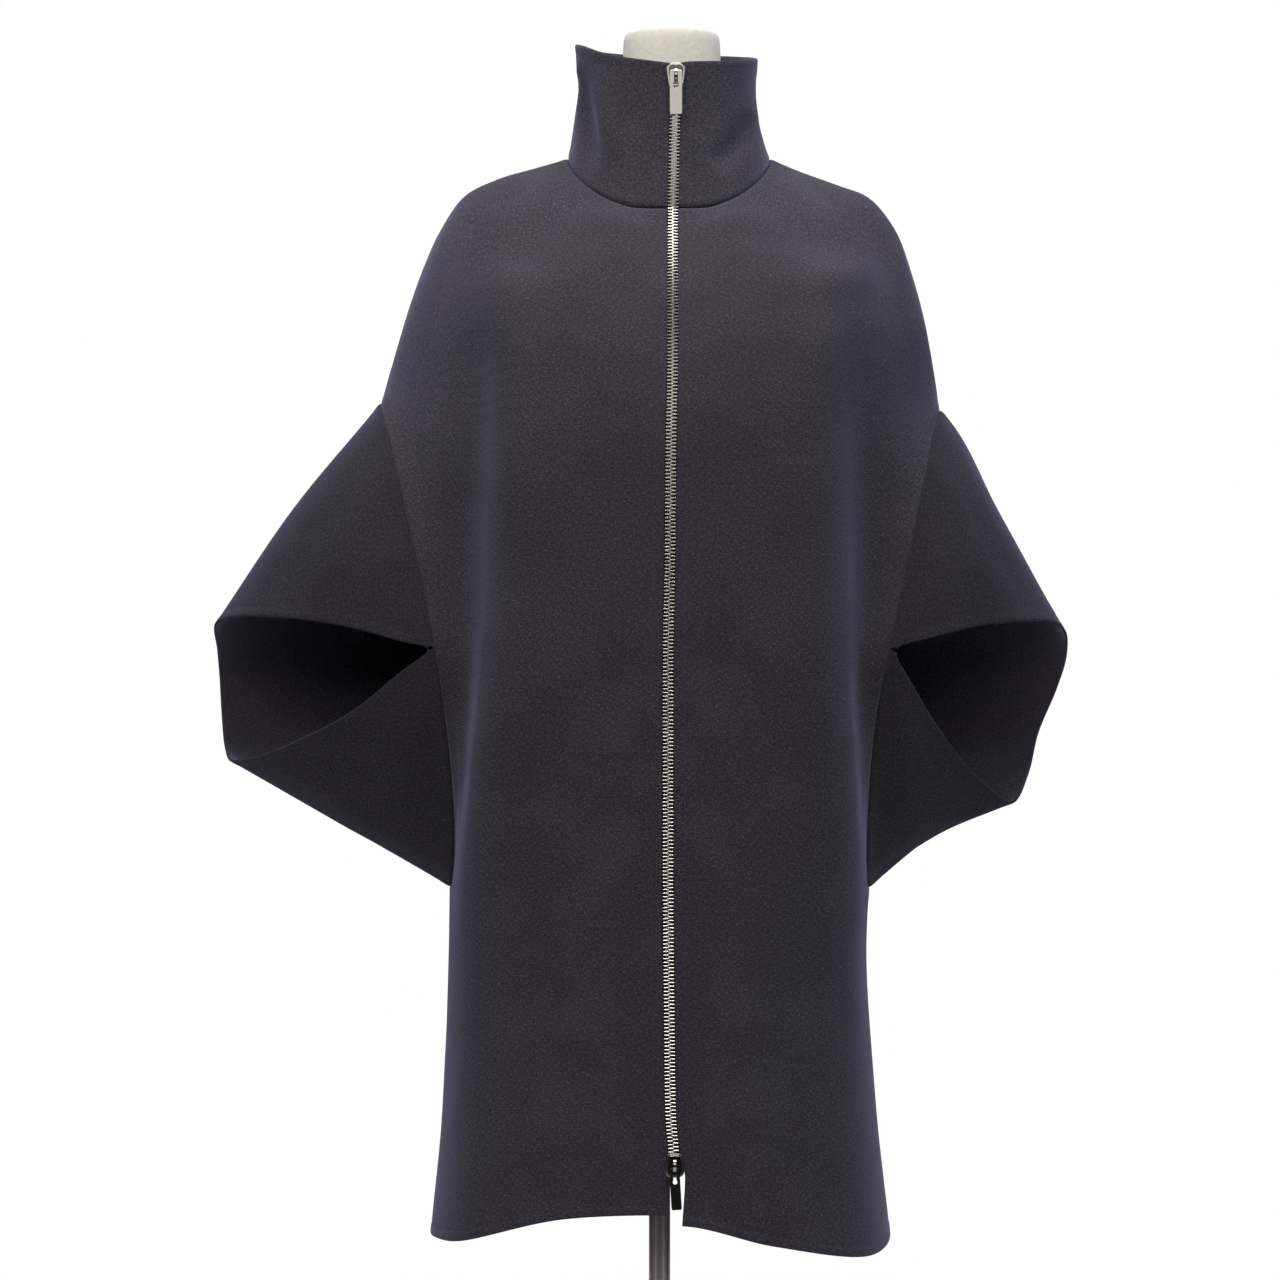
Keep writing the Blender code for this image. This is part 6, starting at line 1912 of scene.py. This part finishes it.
def side_wall(body, sign, wide_end):
    """One of the two walls that guide the teeth, behind the shield's edge."""
    wall = bmesh.ops.create_cube(body, size=1.0)["verts"]
    bmesh.ops.scale(body, vec=(GUIDE_THICK, GUIDE_DEEP, GUIDE_HEIGHT), verts=wall)
    middle = SLIDER_FACE + GUIDE_DEEP / 2 - GUIDE_OVERLAP
    bmesh.ops.translate(body, vec=(sign * GUIDE_ASIDE, middle, -GUIDE_DROP * wide_end), verts=wall)


def bridge(body):
    """The arch over the shield: a small rectangle spun half a turn, and stretched to its length."""
    known = len(body.verts)
    section = bmesh.ops.create_grid(body, x_segments=2, y_segments=1, size=0.5)["verts"]
    bmesh.ops.scale(body, vec=(BRIDGE_WIDE, BRIDGE_THICK, 1.0), verts=section)
    bmesh.ops.translate(body, vec=(0.0, BRIDGE_LONG / 2 - BRIDGE_THICK / 2, 0.0), verts=section)
    bmesh.ops.rotate(body, cent=(0, 0, 0), matrix=Matrix.Rotation(math.radians(90), 3, "X"), verts=section)
    edges = list({edge for vertex in section for edge in vertex.link_edges})
    faces = list({face for vertex in section for face in vertex.link_faces})
    bmesh.ops.spin(body, geom=section + edges + faces, cent=(0, 0, 0), axis=(1, 0, 0),
                   angle=math.radians(180), steps=16, use_duplicate=False)
    body.verts.ensure_lookup_table()
    fresh = body.verts[known:]
    forwards = -1.0 if np.mean([vertex.co.y for vertex in fresh]) > 0 else 1.0
    rise = forwards * BRIDGE_RISE / (BRIDGE_LONG / 2)
    for vertex in fresh:
        vertex.co.y = SLIDER_FACE - SLIDER_PLATE + BRIDGE_SUNK + rise * vertex.co.y


def slider_object(name, height, wide_end):
    """A whole slider on the zip's line, its wide end up (1) or down (-1)."""
    place, _, lean = zip_place(height)
    body = bmesh.new()
    shield(body, wide_end)
    side_wall(body, -1, wide_end)
    side_wall(body, 1, wide_end)
    bridge(body)
    on_zip(body, body.verts[:], place, lean)
    bmesh.ops.recalc_face_normals(body, faces=body.faces[:])
    return shown_object(as_mesh(name, body), (slider_nickel, painted_dark_nickel), 35)


for name, height, wide_end in (("top", SLIDER_TOP_Z, 1), ("bottom", SLIDER_BOTTOM_Z, -1)):
    slider = slider_object("slider_" + name + "_cast", height, wide_end)
    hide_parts("slider_" + name)
    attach(slider, ROOT)
    print(slider.name, len(slider.data.polygons), "faces")

# %% [markdown]
# ### Pull tabs
#
# A pull is stamped from sheet metal, so it is drawn as a flat curve with a second, inner curve for its
# keyhole: a slit between two arms that ends in a round hole. The curve is extruded with a small bevel
# for the rounded stamping edge and then made a mesh. It swings on the bridge. The lower one hangs a
# little aslant, by "tilt" degrees.

# %% Pulls drawn as curves
PULL_THICK = 0.0016
PULL_BEVEL = 0.0003
PULL_BAR = 0.0018
PULL_CORNER = 0.0014
SLIT_CORNER = 0.0006
Pull = namedtuple("Pull", "width length hole_drop hole slit tilt")
PULLS = {"top": Pull(0.0109, 0.0388, 0.0115, 0.0049, 0.0030, 0.0),
         "bottom": Pull(0.0088, 0.0355, 0.0100, 0.0040, 0.0026, -3.5)}


def rounded_corner(centre, radius, start, steps=6):
    """Points of a quarter circle."""
    turns = [math.radians(start + 90 * step / steps) for step in range(steps + 1)]
    return [(centre[0] + radius * math.cos(turn), centre[1] + radius * math.sin(turn)) for turn in turns]


def rounded_box(width, length, radius, top):
    """Outline of a rounded rectangle that hangs below a height."""
    half = width / 2 - radius
    low = top - length + radius
    high = top - radius
    centres = ((half, high), (-half, high), (-half, low), (half, low))
    return sum((rounded_corner(centre, radius, 90 * turn) for turn, centre in enumerate(centres)), [])


def keyhole(pull, top):
    """Outline of the slit and the round hole at its end."""
    half = pull.slit / 2
    centre = top - pull.hole_drop
    reach = math.degrees(math.asin(half / (pull.hole / 2)))
    turns = [math.radians(90 + reach + (360 - 2 * reach) * step / 28) for step in range(29)]
    hole = [(pull.hole / 2 * math.cos(turn), centre + pull.hole / 2 * math.sin(turn)) for turn in turns]
    centre_x, centre_y = half - SLIT_CORNER, top - SLIT_CORNER
    return (hole + rounded_corner((centre_x, centre_y), SLIT_CORNER, 0, 3)
            + rounded_corner((-centre_x, centre_y), SLIT_CORNER, 90, 3))


def add_outline(curve, outline):
    """A closed straight-sided spline through an outline."""
    spline = curve.splines.new("POLY")
    spline.points.add(len(outline) - 1)
    for point, (x, y) in zip(spline.points, outline):
        point.co = (x, y, 0.0, 1.0)
    spline.use_cyclic_u = True


def pull_object(name, pull, axis_point, material):
    """A pull as a mesh, hanging from its axis."""
    curve = bpy.data.curves.new(name, "CURVE")
    curve.dimensions = "2D"
    curve.fill_mode = "BOTH"
    curve.extrude = PULL_THICK / 2 - PULL_BEVEL
    curve.bevel_depth = PULL_BEVEL
    curve.bevel_resolution = 2
    curve.offset = -PULL_BEVEL
    add_outline(curve, rounded_box(pull.width, pull.length, PULL_CORNER, PULL_BAR / 2))
    add_outline(curve, keyhole(pull, -PULL_BAR / 2))
    drawn = bpy.data.objects.new(name, curve)
    mesh = bpy.data.meshes.new_from_object(drawn)
    bpy.data.objects.remove(drawn)
    lean = Matrix.Rotation(math.radians(pull.tilt), 4, "Y")
    mesh.transform(Matrix.Translation(axis_point) @ lean @ Matrix.Rotation(math.radians(90), 4, "X"))
    mesh.name = name
    mesh.materials.clear()
    return shown_object(mesh, (material,), 35)


axis_points = {joint["child"]: Vector(joint["pos_m"]) for joint in frame["joints"]}
# The lower pull takes the nickel painted dark, a painted reflection of the dark cloth.
for name, body_name, finish in (("top", "upper_pull", pull_nickel), ("bottom", "lower_pull", painted_dark_nickel)):
    pull = pull_object("pull_" + name + "_stamped", PULLS[name], axis_points[body_name], finish)
    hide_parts("pull_" + name)
    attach(pull, body_name)
    print(pull.name, len(pull.data.polygons), "faces")

# %% [markdown]
# ## Stitches
#
# Double-faced wool is felled by hand, so its seams show no stitching. Only two kinds of stitch show:
# the line that holds the zip's tape, and a small bar tack at the point of each slit, where the cloth
# is pulled hardest. One stitch is a small capsule, repeated along a line on the cloth.

# %% Stitches
STITCH_LONG = 0.0026
STITCH_STEP = 0.0033
STITCH_WIDE = 0.00042
STITCH_SUNK = 0.00006
LAST_STITCH = 0.006
TACK_STITCHES = 7
TACK_STEP = 0.00050
TACK_PROUD = 0.00010
TACK_SLANT = 0.12
TACK_STRETCH = 1.25


def stitch_mesh():
    """One stitch lying along Z: a sphere of few faces, stretched."""
    body = bmesh.new()
    bmesh.ops.create_uvsphere(body, u_segments=6, v_segments=5, radius=0.5)
    bmesh.ops.scale(body, vec=(STITCH_WIDE, STITCH_WIDE, STITCH_LONG), verts=body.verts[:])
    return as_mesh("stitch", body)


def sew(name, places):
    """Stitches as one mesh, each at a place, along a direction, facing outwards."""
    stitch = stitch_mesh()
    body = bmesh.new()
    for place, along, outward, stretch in places:
        along = Vector(along).normalized()
        outward = Vector(outward)
        outward = (outward - along * outward.dot(along)).normalized()
        turn = Matrix((outward.cross(along), outward, along)).transposed().to_4x4()
        longer = Matrix.Scale(stretch, 4, (0, 0, 1))
        known = len(body.verts)
        body.from_mesh(stitch)
        body.verts.ensure_lookup_table()
        bmesh.ops.transform(body, matrix=Matrix.Translation(place) @ turn @ longer, verts=body.verts[known:])
    made = shown_object(as_mesh(name, body), (thread,))
    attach(made, ROOT)
    print(made.name, len(made.data.polygons), "faces")


def tape_stitches(side):
    """Places of the stitch line beside the zip, from the rim to the hem."""
    edge, step = (0, 1) if side == "right" else (-1, -1)
    rows = [(shown_grids["collar"][row][::step], directions["collar"][row, edge])
            for row in range(len(COLLAR_RISES) - 1, 0, -1)]
    rows += list(zip(shown_grids["front_" + side], directions["front_" + side][:, 0]))
    line, facing = [], []
    for points, outward in rows:
        reach = walked_along(points)
        line.append([np.interp(STITCH_LINE, reach, points[:, axis]) for axis in range(3)])
        facing.append(outward)
    line, facing = np.array(line), np.array(facing)
    walked = walked_along(line)
    places = []
    for distance in np.arange(STITCH_STEP * 2, walked[-1] - LAST_STITCH, STITCH_STEP):
        low, high = distance - STITCH_STEP / 4, distance + STITCH_STEP / 4
        before, after, place, outward = (
            np.array([np.interp(at, walked, values[:, axis]) for axis in range(3)])
            for at, values in ((low, line), (high, line), (distance, line), (distance, facing)))
        places.append((place - unit(outward) * STITCH_SUNK, after - before, outward, 1.0))
    return places


for side in SIGN:
    sew("zip_stitches_" + side, tape_stitches(side))

# %% Bar tacks at the points of the slits
def bar_tack(side):
    """A few stitches across the armhole seam at the slit's point."""
    row = len(SHOULDER_STEPS) + len(ARM_UPPER_STEPS) - 1
    grid, outward = shown_grids["front_" + side], directions["front_" + side]
    place, facing = grid[row, -1], unit(outward[row, -1])
    along = unit(grid[row + 1, -1] - grid[row - 1, -1])
    across = np.cross(facing, along)
    places = []
    for number in range(TACK_STITCHES):
        shift = (number - TACK_STITCHES // 2) * TACK_STEP
        slanted = across + along * TACK_SLANT * (-1) ** number
        places.append((place + along * shift + facing * TACK_PROUD, slanted, facing, TACK_STRETCH))
    return places


for side in SIGN:
    sew("bar_tack_" + side, bar_tack(side))

# %% [markdown]
# ## Dress form and stand
#
# The form is the solid's own shape, made smooth. A copy of its mesh gets its triangles joined into
# four-sided faces again, and a subdivision surface rounds them. The pole and the base are turned, like
# the real ones on a lathe: a profile spun once round.

# %% The form
SAME_PLACE = 0.00001
form_copy = frame["nodes"]["form_body"].data.copy()
body = bmesh.new()
body.from_mesh(form_copy)
bmesh.ops.transform(body, matrix=frame["nodes"]["form_body"].matrix_world, verts=body.verts[:])
bmesh.ops.remove_doubles(body, verts=body.verts[:], dist=SAME_PLACE)
bmesh.ops.join_triangles(body, faces=body.faces[:], angle_face_threshold=math.radians(40),
                         angle_shape_threshold=math.radians(60), cmp_seam=False, cmp_sharp=False,
                         cmp_uvs=False, cmp_vcols=False, cmp_materials=False)
body.to_mesh(form_copy)
body.free()
form_copy.name = "form_jersey_body"
form_copy.materials.clear()
form = shown_object(form_copy, (jersey,))
rounding = form.modifiers.new("rounding", "SUBSURF")
rounding.levels = 2
rounding.render_levels = 2
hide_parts("form_body")
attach(form, ROOT)
print("form faces before rounding:", len(form_copy.polygons))

# %% Pole and base
def turned(name, profile, bevel):
    """A profile of radius and height spun once round the pole's axis."""
    body = bmesh.new()
    verts = [body.verts.new((radius, 0.0, height)) for radius, height in profile]
    edges = [body.edges.new(pair) for pair in zip(verts, verts[1:])]
    bmesh.ops.spin(body, geom=verts + edges, cent=(0, 0, 0), axis=(0, 0, 1), angle=math.radians(360),
                   steps=96, use_merge=True)
    bmesh.ops.remove_doubles(body, verts=body.verts[:], dist=SAME_PLACE)
    bmesh.ops.recalc_face_normals(body, faces=body.faces[:])
    corners = [edge for edge in body.edges
               if len(edge.link_faces) == 2 and edge.calc_face_angle(0.0) > math.radians(40)]
    bmesh.ops.bevel(body, geom=corners, offset=bevel, segments=3, profile=0.5, affect="EDGES", material=-1)
    made = shown_object(as_mesh(name, body), (pole_chrome,), 40)
    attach(made, ROOT)
    return made


POLE_RADIUS = 0.0095
POLE_LOW, POLE_HIGH = 0.0283, 0.6897
BASE_RADIUS = 0.165
BASE_THICK = 0.010
HUB_RADIUS = 0.024
HUB_TOP = 0.028
pole = turned("pole_turned", [(0.0, POLE_HIGH), (POLE_RADIUS, POLE_HIGH), (POLE_RADIUS, POLE_LOW),
                              (0.0, POLE_LOW)], 0.0005)
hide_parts("stand_pole")
base = turned("base_turned", [(0.0, HUB_TOP), (HUB_RADIUS, HUB_TOP), (HUB_RADIUS, BASE_THICK),
                              (BASE_RADIUS, BASE_THICK), (BASE_RADIUS, 0.0), (0.0, 0.0)], 0.0016)
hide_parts("stand_base")
print("pole and base:", len(pole.data.polygons), len(base.data.polygons), "faces")

# %% [markdown]
# ## Sizes and finish
#
# The last line hands the scene over.

# %% Write the sizes and finish
new_box = [list(corner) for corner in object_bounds()]
print("visual box:", [[round(value, 4) for value in corner] for corner in new_box])
